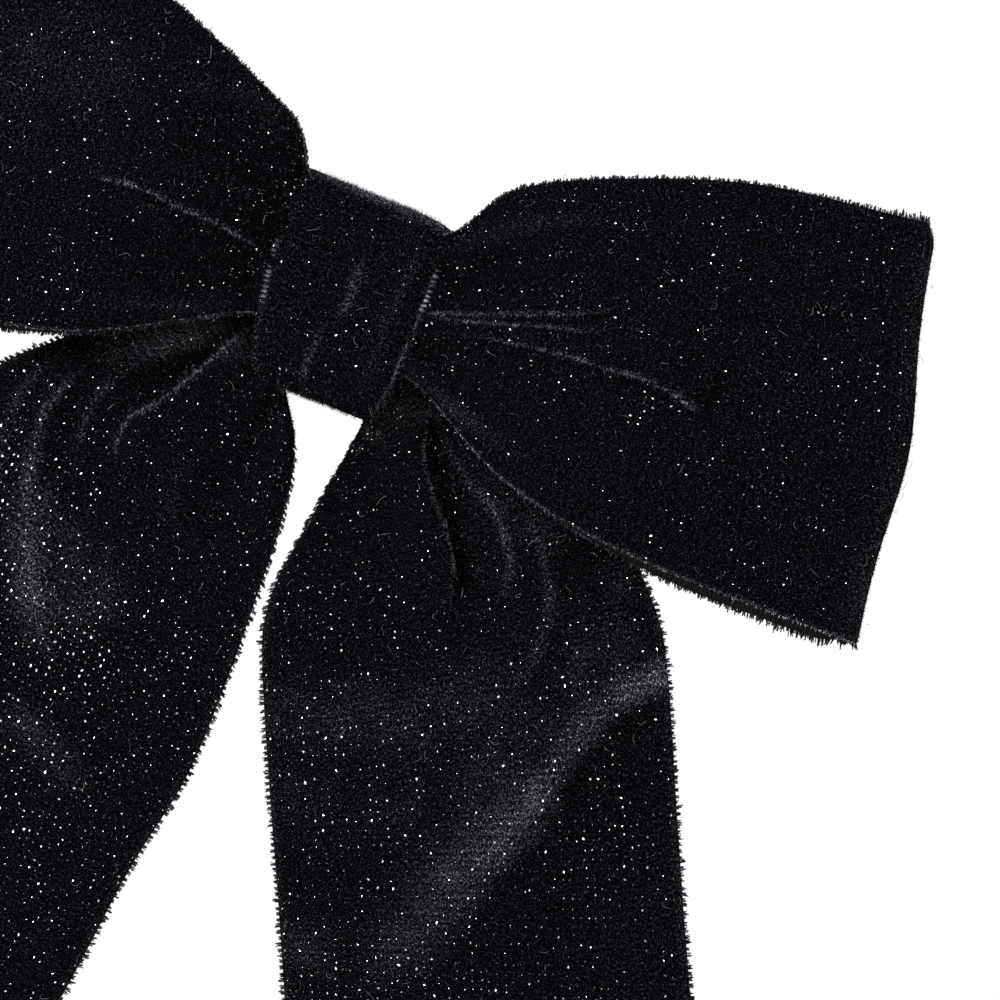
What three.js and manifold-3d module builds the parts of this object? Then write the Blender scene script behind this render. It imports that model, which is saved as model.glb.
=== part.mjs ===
import * as THREE from 'three';
import { mergeVertices } from 'three/addons/utils/BufferGeometryUtils.js';
import Module from 'manifold-3d';

// A ribbon hair bow with two loops, two tails and a wrapped knot, sewn to a snap-shut barrette.
// Millimetres. +X runs along the bow, +Z is up as the bow is worn, and the bow's front faces -Y.
// The origin is the centre of the barrette's hair gap. The head is on the +Y side.

// ---- Driving dimensions ----

const ribbonThickness = 1.6;        // backing and pile together
const gatheredThickness = 3.3;      // one layer of ribbon where it is pinched into pleats
const touchGap = 0.3;               // clearance between pieces that touch

const hairGap = 7.2;                // from the tension bar's middle to the closed arm
const barLength = 82;
const barWidth = 9.5;
const barThickness = 1.0;
const barArch = 6.9;                // how far the bar's level ends stand behind its middle
const barArchReach = 40;            // the arch runs out this far from the middle
const barInnerY = -7.5;             // the bar's rear face at its middle

const leafThickness = 0.5;
const leafWidth = 6;
const leafReach = 26;
const leafArch = 2.1;

const armThickness = 1.2;
const armEndX = 42.5;
const armEndHalfWidth = 5.3;
const hingeX = -37;
const pinRadius = 0.8;
const pinBoreRadius = 0.9;
const knuckleRadius = 1.7;
const knuckleHalfWidth = 3.65;

const latchX = 37;
const windowHalfLength = 3;
const windowHalfWidth = 3.6;
const prongHalfLength = 2;
const prongOuterZ = windowHalfWidth - touchGap;
const prongThickness = 0.9;
const latchSheet = 0.8;             // the latch plate's thickness
const rivetBoreRadius = 1;

const threadRadius = 0.3;
const stitchXs = [15, 19];
const stitchHalfSpan = 2.4;
const stitchHoleRadius = 0.8;
const gatherTopZ = 12;              // the pinched ribbon runs up and down to here
const gatherBottomZ = -12.7;

const knotFrontY = -23.8;
const knotBackY = -5.5;
const knotHalfHeight = 16.9;
const knotHalfWidthTop = 12.7;
const knotHalfWidthBottom = 10.3;
const knotHalfWidthBack = 5;
const knotCorner = 3.6;

const loopFrontY = -20.2;           // the gathered loops at the middle of the knot
const loopBackY = -13.4;
const loopReach = 90;
const foldRadius = 3;               // the soft crease at each loop's end

const armInnerY = hairGap / 2;
const armOuterY = armInnerY + armThickness;
const hingeY = armInnerY + armThickness / 2;
const tailFrontY = loopBackY + touchGap;
const tailBackY = tailFrontY + gatheredThickness;

// ---- Materials ----

const velvet = () => new THREE.MeshStandardMaterial({ color: 0x101014, roughness: 0.95, metalness: 0 });
const thread = () => new THREE.MeshStandardMaterial({ color: 0x0b0b0d, roughness: 0.7, metalness: 0 });
const steel = () => new THREE.MeshStandardMaterial({ color: 0xb9babd, roughness: 0.32, metalness: 1 });

// ---- Solids: joining and cutting ----

const wasm = await Module();
wasm.setup();

function solid(geometry) {
  const bare = geometry.clone();
  bare.deleteAttribute('normal');
  bare.deleteAttribute('uv');
  const merged = mergeVertices(bare, 1e-4);
  return new wasm.Manifold(new wasm.Mesh({
    numProp: 3,
    vertProperties: new Float32Array(merged.attributes.position.array),
    triVerts: new Uint32Array(merged.index.array),
  }));
}

function geometryOf(manifold) {
  const mesh = manifold.getMesh();
  const geometry = new THREE.BufferGeometry();
  geometry.setAttribute('position', new THREE.BufferAttribute(mesh.vertProperties, 3));
  geometry.setIndex(new THREE.BufferAttribute(mesh.triVerts, 1));
  geometry.computeVertexNormals();
  return geometry;
}

// ---- Solids: the ways a flat outline becomes one ----

const straight = (depth, steps = 1) => ({ depth, steps, bevelEnabled: false, curveSegments: 8 });

// An outline drawn in X and Z, standing from y0 to y1.
function plate(outline, y0, y1) {
  const geometry = new THREE.ExtrudeGeometry(outline, straight(y1 - y0));
  geometry.rotateX(Math.PI / 2);
  geometry.translate(0, y1, 0);
  return geometry;
}

// An outline drawn in X and Y, standing from z0 to z1.
function slab(outline, z0, z1) {
  const geometry = new THREE.ExtrudeGeometry(outline, straight(z1 - z0));
  geometry.translate(0, 0, z0);
  return geometry;
}

// An outline drawn in Y and Z, running from x0 to x1.
function prism(outline, x0, x1, steps = 1) {
  const geometry = new THREE.ExtrudeGeometry(outline, straight(x1 - x0, steps));
  const turn = new THREE.Matrix4().makeBasis(
    new THREE.Vector3(0, 1, 0),
    new THREE.Vector3(0, 0, 1),
    new THREE.Vector3(1, 0, 0),
  );
  geometry.applyMatrix4(turn);
  geometry.translate(x0, 0, 0);
  return geometry;
}

function roundedRectangle(left, bottom, right, top, radius) {
  const shape = new THREE.Shape();
  shape.absarc(right - radius, bottom + radius, radius, -Math.PI / 2, 0);
  shape.absarc(right - radius, top - radius, radius, 0, Math.PI / 2);
  shape.absarc(left + radius, top - radius, radius, Math.PI / 2, Math.PI);
  shape.absarc(left + radius, bottom + radius, radius, Math.PI, Math.PI * 1.5);
  return shape;
}

function circle(x, y, radius) {
  return new THREE.Path().absarc(x, y, radius, 0, Math.PI * 2);
}

// A strip of even thickness whose rear face follows y = rearFace(x), cut to an outline in X and Z.
function bentStrip(rearFace, thickness, reach, outline) {
  const steps = 36;
  const xs = Array.from({ length: steps + 1 }, (_, i) => reach * (2 * i / steps - 1));
  const front = xs.map((x) => new THREE.Vector2(x, rearFace(x) - thickness));
  const rear = xs.map((x) => new THREE.Vector2(x, rearFace(x)));
  const profile = new THREE.Shape([...front, ...rear.reverse()]);
  const sheet = solid(slab(profile, -barWidth, barWidth));
  return sheet.intersect(solid(plate(outline, -20, 20)));
}

// A route that an extrusion follows point by point, so that its corners are kept.
class Route extends THREE.Curve {
  constructor(points) {
    super();
    this.points = points;
  }

  getPointAt(share) {
    return this.points[Math.round(share * (this.points.length - 1))].clone();
  }

  getTangentAt(share) {
    const last = this.points.length - 1;
    const at = Math.round(share * last);
    return this.points[Math.min(at + 1, last)].clone().sub(this.points[Math.max(at - 1, 0)]).normalize();
  }
}

// A thread: a round section along straight runs joined by bends of one radius.
function threadAlong(points, bend) {
  const route = [points[0]];
  for (let i = 1; i < points.length - 1; i += 1) {
    const corner = points[i];
    const into = points[i - 1].clone().sub(corner).normalize();
    const out = points[i + 1].clone().sub(corner).normalize();
    const centre = corner.clone().addScaledVector(into, bend).addScaledVector(out, bend);
    for (const degrees of [0, 30, 60, 90]) {
      const angle = THREE.MathUtils.degToRad(degrees);
      route.push(centre.clone()
        .addScaledVector(out, -bend * Math.cos(angle))
        .addScaledVector(into, -bend * Math.sin(angle)));
    }
  }
  route.push(points[points.length - 1]);
  const section = new THREE.Shape();
  section.absarc(0, 0, threadRadius, 0, Math.PI * 2);
  return new THREE.ExtrudeGeometry(section, {
    steps: route.length - 1, extrudePath: new Route(route), curveSegments: 3,
  });
}

function moveVertices(geometry, place) {
  const position = geometry.attributes.position;
  const point = new THREE.Vector3();
  for (let i = 0; i < position.count; i += 1) {
    place(point.fromBufferAttribute(position, i));
    position.setXYZ(i, point.x, point.y, point.z);
  }
  geometry.computeVertexNormals();
  return geometry;
}

// A closed band of ribbon: its wall lies between two contours with as many points as each other.
// The contours are in X and Y, and Z runs from 0 at one selvedge to 1 at the other.
function ring(outer, inner, stepsAcross) {
  const across = Array.from({ length: stepsAcross + 1 }, (_, i) => i / stepsAcross);
  const profile = [
    ...across.map((up) => new THREE.Vector2(2, up)),
    ...across.map((up) => new THREE.Vector2(1, 1 - up)),
    new THREE.Vector2(2, 0),
  ];
  const geometry = new THREE.LatheGeometry(profile, outer.length);
  return moveVertices(geometry, (p) => {
    const turn = Math.atan2(p.x, p.z) / (2 * Math.PI);
    const index = Math.round((turn + 1) * outer.length) % outer.length;
    const contour = Math.hypot(p.x, p.z) > 1.5 ? outer : inner;
    p.set(contour[index].x, contour[index].y, p.y);
  });
}

const curve = (points) => new THREE.SplineCurve(points.map(([x, y]) => new THREE.Vector2(x, y)));

function named(name, geometry, material) {
  const mesh = new THREE.Mesh(geometry, material);
  mesh.name = name;
  return mesh;
}

// ---- Loops: one ring of ribbon, pinched at the knot and creased at both ends ----

// Each loop's two edges, from the middle of the knot to the end crease, in X and Z.
const loopEdges = {
  right: {
    top: curve([[0, 12], [2.2, 12], [8, 12.6], [13.6, 14.2], [20.5, 24.5], [37, 32.8], [57, 39], [83, 42.5]]),
    bottom: curve([[0, -11], [2.2, -11], [8, -9.8], [14, -8.8], [34, -18.4], [58, -22.8], [93.8, -23.6]]),
  },
  left: {
    top: curve([
      [0, 12], [-2.2, 12], [-8, 12.6], [-13.6, 14.2], [-20.5, 24.2], [-42, 34.6], [-62, 40], [-84, 42.5],
    ]),
    bottom: curve([
      [0, -11], [-2.2, -11], [-8, -9.6], [-14, -7.8], [-37.5, -19.2], [-60, -23.4], [-93, -24.4],
    ]),
  },
};

// Front and back of one loop in plan: distance from the knot, then Y.
const loopFront = curve([
  [0, loopFrontY], [2.2, loopFrontY], [8, -20.7], [13.5, -21.2], [21, -25.4], [38, -30.6], [60, -28.2],
  [78, -23], [loopReach - foldRadius, -20.6],
]);
const loopBack = curve([
  [0, loopBackY], [14, loopBackY], [60, loopBackY], [78, -13.9], [loopReach - foldRadius, -14.6],
]);

// The wall is thick where the ribbon is pleated in the knot and one ribbon thick beyond it.
function loopWall(distance) {
  const pleated = 1 - THREE.MathUtils.smoothstep(distance, 10, 26);
  return ribbonThickness + (gatheredThickness - ribbonThickness - 0.4) * pleated;
}

function halfLoopContour(inset) {
  const steps = 22;
  const creaseY = (loopFront.getPoint(1).y + loopBack.getPoint(1).y) / 2;
  const crease = new THREE.Vector2(loopReach - foldRadius, creaseY);
  const moved = (p, share) => new THREE.Vector2(p.x, p.y + share * loopWall(p.x));
  const front = loopFront.getSpacedPoints(steps).map((p) => moved(p, inset));
  const back = loopBack.getSpacedPoints(steps).map((p) => moved(p, -inset));
  const radius = foldRadius - inset * ribbonThickness;
  const end = [-60, -30, 0, 30, 60].map((degrees) => new THREE.Vector2(
    crease.x + radius * Math.cos(THREE.MathUtils.degToRad(degrees)),
    crease.y + radius * Math.sin(THREE.MathUtils.degToRad(degrees)),
  ));
  return [...front, ...end, ...back.reverse()];
}

function loopContour(inset) {
  const right = halfLoopContour(inset);
  const left = right.slice(1, -1).reverse().map((p) => new THREE.Vector2(-p.x, p.y));
  return [...right, ...left];
}

function loopRibbon() {
  return moveVertices(ring(loopContour(0), loopContour(1), 6), (p) => {
    const side = p.x < 0 ? loopEdges.left : loopEdges.right;
    const along = Math.min(Math.abs(p.x) / loopReach, 1);
    const low = side.bottom.getPointAt(along);
    const high = side.top.getPointAt(along);
    const up = p.z;
    p.x = low.x + (high.x - low.x) * up;
    p.z = low.y + (high.y - low.y) * up;
  });
}

// ---- Tails: one strip of ribbon, pinched behind the loops, both halves hanging down ----

const tailEdges = {
  right: {
    inner: curve([
      [0, -12.4], [2.2, -12.4], [5.4, -13.6], [9.4, -15.6], [9.9, -18.6], [8.2, -26], [5.4, -35], [4.8, -45],
      [7.4, -58], [15.8, -78], [28.8, -107], [42, -141], [53, -172],
    ]),
    outer: curve([
      [0, 10.4], [2.2, 10.4], [13, 12], [30, 6], [46, -9], [58, -23.5], [68.2, -39.2], [82.1, -71],
      [95, -100], [109, -138], [123, -184],
    ]),
  },
  left: {
    inner: curve([
      [0, -12.4], [-2.2, -12.4], [-5.6, -13.6], [-8, -15.6], [-7.6, -18.4], [-3.4, -22.8], [0.4, -29],
      [2.2, -38], [2.9, -50], [3.1, -64], [2.2, -80], [-1.4, -98], [-5.2, -122], [-11, -150], [-15, -174],
    ]),
    outer: curve([
      [0, 10.4], [-2.2, 10.4], [-13, 12], [-26, 2], [-37.5, -15], [-48, -28], [-57, -44], [-60.5, -62],
      [-63, -90], [-69, -125], [-75, -160], [-83, -200],
    ]),
  },
};
const tailWaveDepth = 3;

function tailRibbon() {
  const geometry = new THREE.BoxGeometry(2, 1, 1, 68, 1, 6);
  return moveVertices(geometry, (p) => {
    const side = p.x < 0 ? tailEdges.left : tailEdges.right;
    const along = Math.abs(p.x);
    const across = p.z + 0.5;
    const inner = side.inner.getPointAt(along);
    const outer = side.outer.getPointAt(along);
    const loose = THREE.MathUtils.smoothstep(along, 0.04, 0.11);
    const thickness = gatheredThickness + (ribbonThickness - gatheredThickness) * loose;
    const hanging = THREE.MathUtils.smoothstep(along, 0.2, 0.45);
    const wave = tailWaveDepth * hanging * Math.cos(Math.PI * (2.4 * across + 1.5 * along));
    const middle = (tailFrontY + tailBackY) / 2 - 0.35 * loose;
    p.x = inner.x + (outer.x - inner.x) * across;
    p.z = inner.y + (outer.y - inner.y) * across;
    p.y = middle + wave + p.y * thickness;
  });
}

// ---- Knot: a band wrapped over loops, tails and the barrette's bar, drawn narrow at the back ----

function knotBand() {
  const section = roundedRectangle(knotFrontY, -knotHalfHeight, knotBackY, knotHalfHeight, knotCorner);
  const outer = section.getSpacedPoints(64).slice(1);
  const inner = outer.map((p) => {
    const core = new THREE.Vector2(
      THREE.MathUtils.clamp(p.x, knotFrontY + knotCorner, knotBackY - knotCorner),
      THREE.MathUtils.clamp(p.y, knotCorner - knotHalfHeight, knotHalfHeight - knotCorner),
    );
    return p.clone().sub(core).multiplyScalar(1 - ribbonThickness / knotCorner).add(core);
  });
  return moveVertices(ring(outer, inner, 4), (p) => {
    const up = (p.y + knotHalfHeight) / (2 * knotHalfHeight);
    const wide = knotHalfWidthBottom + (knotHalfWidthTop - knotHalfWidthBottom) * up;
    const back = THREE.MathUtils.smoothstep(p.x, knotFrontY + 2, loopBackY - 1);
    p.set((2 * p.z - 1) * (wide + (knotHalfWidthBack - wide) * back), p.x, p.y);
  });
}

// Three turns of thread round the pinched loops and tails, under the knot band.
function gatherThread() {
  const away = touchGap + threadRadius;
  const front = loopFrontY - away;
  const rear = tailBackY + away;
  const top = gatherTopZ + away;
  const bottom = gatherBottomZ - away;
  const pitch = 2 * threadRadius + 0.2;
  const points = [new THREE.Vector3(-pitch * 1.5, rear, 0)];
  for (let turn = 0; turn < 3; turn += 1) {
    const x = pitch * (turn - 1.5);
    points.push(new THREE.Vector3(x, rear, top));
    points.push(new THREE.Vector3(x, front, top));
    points.push(new THREE.Vector3(x + pitch / 2, front, bottom));
    points.push(new THREE.Vector3(x + pitch / 2, rear, bottom));
  }
  points.push(new THREE.Vector3(pitch * 1.5, rear, 0));
  return threadAlong(points, away);
}

// Whip stitches that close the band's lap low on its back.
function knotSeamThread() {
  const y = knotBackY + touchGap + threadRadius;
  const bottom = -9.2;
  const top = -6.6;
  const stitchWidth = 1;
  const pitch = 2 * stitchWidth;
  const firstX = -3.5;
  const points = [];
  for (let stitch = 0; stitch < 4; stitch += 1) {
    const x = pitch * stitch + firstX;
    points.push(new THREE.Vector3(x, y, bottom));
    points.push(new THREE.Vector3(x, y, top));
    points.push(new THREE.Vector3(x + stitchWidth, y, top));
    points.push(new THREE.Vector3(x + stitchWidth, y, bottom));
  }
  return threadAlong(points, 0.45);
}

// ---- Barrette ----

const barRear = (x) => barInnerY
  + barArch * Math.sin(Math.PI / 2 * Math.min(Math.abs(x) / barArchReach, 1)) ** 2;
const leafRear = (x) => -hairGap / 2 + leafArch * (x / leafReach) ** 2;

// The bar is one pressed strip: hinge ears at one end, sewing holes, and keepers for the tension bar.
function baseBar() {
  const outline = roundedRectangle(-barLength / 2, -barWidth / 2, barLength / 2, barWidth / 2, 3);
  for (const side of [-1, 1]) {
    for (const x of stitchXs) {
      outline.holes.push(circle(side * x, stitchHalfSpan, stitchHoleRadius));
      outline.holes.push(circle(side * x, -stitchHalfSpan, stitchHoleRadius));
    }
  }
  outline.holes.push(circle(latchX, 0, rivetBoreRadius));
  let bar = bentStrip(barRear, barThickness, barLength / 2, outline);

  const ear = new THREE.Shape();
  const earRadius = knuckleRadius + 0.2;
  ear.moveTo(hingeX - earRadius, barRear(hingeX) - barThickness / 2);
  ear.lineTo(hingeX + earRadius, barRear(hingeX) - barThickness / 2);
  ear.absarc(hingeX, hingeY, earRadius, 0, Math.PI);
  ear.holes.push(circle(hingeX, hingeY, pinBoreRadius));
  const earThickness = 0.8;
  bar = bar.add(solid(slab(ear, barWidth / 2 - earThickness, barWidth / 2)));
  bar = bar.add(solid(slab(ear, -barWidth / 2, -barWidth / 2 + earThickness)));

  const keeperWallZ = leafWidth / 2 + 0.4;
  const keeperOuterZ = keeperWallZ + 0.8;
  const keeperTipZ = leafWidth / 2 - 0.8;
  const keeperX = [23.4, 25.6];
  const keeperRootY = -3.4;
  const keeperHookY = leafRear(keeperX[1]) + touchGap;
  const keeperEndY = keeperHookY + 0.55;
  for (const side of [-1, 1]) {
    for (const hand of [-1, 1]) {
      const keeper = new THREE.Shape();
      keeper.moveTo(keeperRootY, hand * keeperWallZ);
      keeper.lineTo(keeperHookY, hand * keeperWallZ);
      keeper.lineTo(keeperHookY, hand * keeperTipZ);
      keeper.lineTo(keeperEndY, hand * keeperTipZ);
      keeper.lineTo(keeperEndY, hand * keeperOuterZ);
      keeper.lineTo(keeperRootY, hand * keeperOuterZ);
      const xs = keeperX.map((x) => side * x).sort((a, b) => a - b);
      bar = bar.add(solid(prism(keeper, xs[0], xs[1])));
    }
  }
  return geometryOf(bar);
}

function tensionBar() {
  const outline = roundedRectangle(-leafReach, -leafWidth / 2, leafReach, leafWidth / 2, 2.6);
  return geometryOf(bentStrip(leafRear, leafThickness, leafReach, outline));
}

// The arm is a flat strip with a rolled knuckle at the hinge and a window that snaps over the latch.
function claspArm() {
  const outline = new THREE.Shape();
  const middle = 3;
  outline.moveTo(hingeX, -knuckleHalfWidth);
  outline.lineTo(hingeX + 6, -knuckleHalfWidth);
  outline.bezierCurveTo(-22, -middle, -12, -middle, 0, -middle);
  outline.bezierCurveTo(18, -middle, 26, -armEndHalfWidth, latchX - 4, -armEndHalfWidth);
  outline.absarc(armEndX - 3, -armEndHalfWidth + 3, 3, -Math.PI / 2, 0);
  outline.absarc(armEndX - 3, armEndHalfWidth - 3, 3, 0, Math.PI / 2);
  outline.lineTo(latchX - 4, armEndHalfWidth);
  outline.bezierCurveTo(26, armEndHalfWidth, 18, middle, 0, middle);
  outline.bezierCurveTo(-12, middle, -22, middle, hingeX + 6, knuckleHalfWidth);
  outline.lineTo(hingeX, knuckleHalfWidth);
  outline.holes.push(roundedRectangle(
    latchX - windowHalfLength, -windowHalfWidth, latchX + windowHalfLength, windowHalfWidth, 0.6,
  ));
  const strip = solid(plate(outline, armInnerY, armOuterY));

  const knuckle = new THREE.Shape();
  knuckle.absarc(hingeX, hingeY, knuckleRadius, 0, Math.PI * 2);
  const bore = new THREE.Shape();
  bore.absarc(hingeX, hingeY, pinBoreRadius, 0, Math.PI * 2);
  const roll = solid(slab(knuckle, -knuckleHalfWidth, knuckleHalfWidth));
  const hole = solid(slab(bore, -barWidth, barWidth));
  return geometryOf(strip.add(roll).subtract(hole));
}

// A turned pin or rivet standing on +Z: two domed heads on a plain shank.
function headedPin(shankRadius, headRadius, from, to) {
  const head = 0.5;
  const profile = [
    [0, from - head], [headRadius * 0.6, from - head], [headRadius, from - head * 0.4], [headRadius, from],
    [shankRadius, from], [shankRadius, to], [headRadius, to], [headRadius, to + head * 0.4],
    [headRadius * 0.6, to + head], [0, to + head],
  ].map(([r, z]) => new THREE.Vector2(r, z));
  const geometry = new THREE.LatheGeometry(profile, 24);
  geometry.rotateX(Math.PI / 2);
  return geometry;
}

// The latch is one bent spring: a plate riveted to the bar and two prongs squeezed towards each other.
const latchPlateY = barRear(latchX + 4) + touchGap;
const prongFootY = latchPlateY + latchSheet + touchGap;

function latchPlate() {
  const halfLength = 2.8;
  const corner = 0.8;
  const outline = roundedRectangle(-halfLength, -prongOuterZ, halfLength, prongOuterZ, corner);
  outline.holes.push(circle(0, 0, rivetBoreRadius));
  return plate(outline, 0, latchSheet);
}

// One prong in Y and Z, its foot at y = 0: stem, finger tab at the side, hook over the arm.
function latchProng() {
  const inner = prongOuterZ - prongThickness;
  const hookY = armOuterY + touchGap - prongFootY;
  const noseY = hookY + 1.3;
  const hookZ = prongOuterZ + 0.8;
  const tabFront = 0.5;
  const tabMiddle = 1.0;
  const tabRear = 1.7;
  const tabZ = prongOuterZ + 2.9;
  const outline = new THREE.Shape();
  outline.moveTo(0, inner);
  outline.lineTo(noseY, inner);
  outline.lineTo(noseY, prongOuterZ - 0.2);
  outline.lineTo(hookY + 0.3, hookZ);
  outline.lineTo(hookY, hookZ);
  outline.lineTo(hookY, prongOuterZ);
  outline.lineTo(tabRear, prongOuterZ);
  outline.lineTo(tabRear, tabZ - 0.7);
  outline.quadraticCurveTo(tabRear, tabZ, tabMiddle, tabZ);
  outline.quadraticCurveTo(tabFront, tabZ, tabFront, tabZ - 0.6);
  outline.lineTo(0.3, prongOuterZ);
  outline.lineTo(0, prongOuterZ);
  return prism(outline, -prongHalfLength, prongHalfLength);
}

// Thread through the bar's four sewing holes on one side, lying on the ribbon between its stitches.
function clipThread() {
  const onRibbon = tailBackY + touchGap + threadRadius;
  const [first, second] = stitchXs;
  const over = (x) => barRear(x) + touchGap + threadRadius + 0.1;
  const points = [
    [first, onRibbon, stitchHalfSpan], [first, over(first), stitchHalfSpan],
    [first, over(first), -stitchHalfSpan], [first, onRibbon, -stitchHalfSpan],
    [second, onRibbon, -stitchHalfSpan], [second, over(second), -stitchHalfSpan],
    [second, over(second), stitchHalfSpan], [second, onRibbon, stitchHalfSpan],
  ].map(([x, y, z]) => new THREE.Vector3(x, y, z));
  return threadAlong(points, 0.5);
}

// ---- Assembly ----

const hairBow = new THREE.Group();

const bow = new THREE.Group();
bow.add(named('loop_ribbon', loopRibbon(), velvet()));
bow.add(named('tail_ribbon', tailRibbon(), velvet()));
bow.add(named('knot_band', knotBand(), velvet()));
bow.add(named('gather_thread', gatherThread(), thread()));
bow.add(named('knot_seam_thread', knotSeamThread(), thread()));
hairBow.add(bow);

const barrette = new THREE.Group();
barrette.add(named('base_bar', baseBar(), steel()));
barrette.add(named('tension_bar', tensionBar(), steel()));
barrette.add(named('clasp_arm', claspArm(), steel()));
const earOuterZ = barWidth / 2 + 0.1;
const hingePin = named('hinge_pin', headedPin(pinRadius, 1.3, -earOuterZ, earOuterZ), steel());
hingePin.position.set(hingeX, hingeY, 0);
barrette.add(hingePin);
barrette.add(named('clip_thread_right', clipThread(), thread()));
const leftThread = named('clip_thread_left', clipThread(), thread());
leftThread.rotation.y = Math.PI;
barrette.add(leftThread);
hairBow.add(barrette);

const latch = new THREE.Group();
latch.position.x = latchX;
const plateMesh = named('latch_plate', latchPlate(), steel());
plateMesh.position.y = latchPlateY;
latch.add(plateMesh);
const upperProng = named('latch_prong_upper', latchProng(), steel());
upperProng.position.y = prongFootY;
latch.add(upperProng);
const lowerProng = named('latch_prong_lower', latchProng(), steel());
lowerProng.position.y = prongFootY;
lowerProng.rotation.y = Math.PI;
latch.add(lowerProng);
const rivetFrontY = barRear(latchX - 1.3) - barThickness - touchGap;
const rivet = named('latch_rivet', headedPin(0.7, 1.2, rivetFrontY, prongFootY), steel());
rivet.rotation.x = -Math.PI / 2;
latch.add(rivet);
barrette.add(latch);

export default hairBow;
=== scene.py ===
import math

import bpy
import numpy as np
from mathutils import Matrix, Vector
from mathutils.kdtree import KDTree


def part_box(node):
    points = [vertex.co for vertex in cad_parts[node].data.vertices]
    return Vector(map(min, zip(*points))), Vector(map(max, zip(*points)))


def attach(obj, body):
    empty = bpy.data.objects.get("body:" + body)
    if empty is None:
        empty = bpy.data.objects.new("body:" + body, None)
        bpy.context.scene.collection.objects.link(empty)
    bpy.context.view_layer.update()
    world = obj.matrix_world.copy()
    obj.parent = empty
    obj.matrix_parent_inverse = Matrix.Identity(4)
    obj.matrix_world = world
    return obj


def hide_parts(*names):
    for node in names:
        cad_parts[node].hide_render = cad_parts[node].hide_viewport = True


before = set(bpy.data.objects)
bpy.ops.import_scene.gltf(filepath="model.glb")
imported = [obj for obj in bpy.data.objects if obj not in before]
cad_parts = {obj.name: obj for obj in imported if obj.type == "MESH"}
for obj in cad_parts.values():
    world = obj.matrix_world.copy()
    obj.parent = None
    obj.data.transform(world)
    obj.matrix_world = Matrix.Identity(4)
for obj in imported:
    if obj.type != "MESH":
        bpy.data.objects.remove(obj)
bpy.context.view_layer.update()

# A black glitter-velvet hair bow on its barrette. Shapes are worked out in millimetres, in the
# frame's axes, and turned to metres when a mesh is made. The bow's front faces -Y.
MM = 0.001
RIBBON_WIDTH = 63.0
SELVEDGE = 3.0           # a matt band along each edge of the ribbon's back
CLOTH = 0.7              # the woven backing and the dense foot of the pile
PILE = 0.75              # the free length of the pile

THREE_TURNS = (0, 2 * math.pi / 3, 4 * math.pi / 3)

rng = np.random.default_rng(20)


def node_box(name):
    low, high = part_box(name)
    return np.array(low) / MM, np.array(high) / MM


# ---- Camera: square on to the bow, turned so that the bow tilts clockwise ----

FRAME_WIDTH = 157.5      # what the picture is wide, at the bow
CAMERA_AWAY = 1000.0
ROLL = math.radians(20)
PICTURE_CENTRE = (33.7, -21.6)


def add_camera():
    knot_low, _ = node_box("knot_band")
    data = bpy.data.cameras.new("camera")
    data.sensor_width = 36
    data.lens = data.sensor_width * CAMERA_AWAY / FRAME_WIDTH
    camera = bpy.data.objects.new("camera", data)
    right = Vector((math.cos(ROLL), 0, math.sin(ROLL)))
    up = Vector((-math.sin(ROLL), 0, math.cos(ROLL)))
    back = Vector((0, -1, 0))
    turn = Matrix((right, up, back)).transposed()
    place = Vector((PICTURE_CENTRE[0], knot_low[1] + 6 - CAMERA_AWAY, PICTURE_CENTRE[1])) * MM
    camera.matrix_world = Matrix.Translation(place) @ turn.to_4x4()
    bpy.context.scene.collection.objects.link(camera)
    bpy.context.scene.camera = camera


add_camera()


# ---- Curves and smooth steps ----

def dense(points, per_span=24):
    """A Catmull-Rom curve through the points."""
    p = np.array(points, float)
    last = len(p) - 1
    out = []
    for i in range(last):
        p0, p1, p2, p3 = p[max(i - 1, 0)], p[i], p[i + 1], p[min(i + 2, last)]
        t = np.linspace(0, 1, per_span, endpoint=False)[:, None]
        out.append(0.5 * (2 * p1 + (p2 - p0) * t + (2 * p0 - 5 * p1 + 4 * p2 - p3) * t ** 2
                          + (3 * p1 - p0 - 3 * p2 + p3) * t ** 3))
    out.append(p[-1:])
    return np.concatenate(out)


def lengths_along(path):
    """How far along a path each of its points lies."""
    return np.r_[0, np.cumsum(np.linalg.norm(np.diff(path, axis=0), axis=1))]


def at_share(points, share):
    """Points at shares of the curve's length."""
    path = dense(points)
    place = lengths_along(path)
    where = np.asarray(share) * place[-1]
    return np.stack([np.interp(where, place, axis) for axis in path.T], axis=-1)


def across_between(edge, other, v):
    """X and Z of the straight lines from one edge's points to the other's, at the shares v."""
    return (edge[:, None, k] + (other - edge)[:, None, k] * v for k in (0, 1))


def smooth(x, low, high):
    t = np.clip((np.asarray(x, float) - low) / (high - low), 0, 1)
    return t * t * (3 - 2 * t)


def bell(x, width):
    return np.exp(-(x / width) ** 2)


def unit(vectors):
    return vectors / np.maximum(np.linalg.norm(vectors, axis=-1), 1e-9)[..., None]


def soft_noise(shape, cells, seed):
    """A smooth random field from -1 to 1 over a grid, with about so many cells each way."""
    source = np.random.default_rng(seed).uniform(-1, 1, (cells[0] + 3, cells[1] + 3))

    def weights(last, count):
        where = np.linspace(0, last, count)
        i = np.minimum(where.astype(int), last - 1)
        t = where - i
        return i, np.stack([(1 - t) ** 3, 3 * t ** 3 - 6 * t ** 2 + 4,
                            -3 * t ** 3 + 3 * t ** 2 + 3 * t + 1, t ** 3], axis=1) / 6
    (ri, rw), (ci, cw) = map(weights, cells, shape)
    out = np.zeros(shape)
    for a in range(4):
        for b in range(4):
            out += rw[:, a, None] * cw[None, :, b] * source[np.ix_(ri + a, ci + b)]
    return out


# ---- Folds ----

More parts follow.
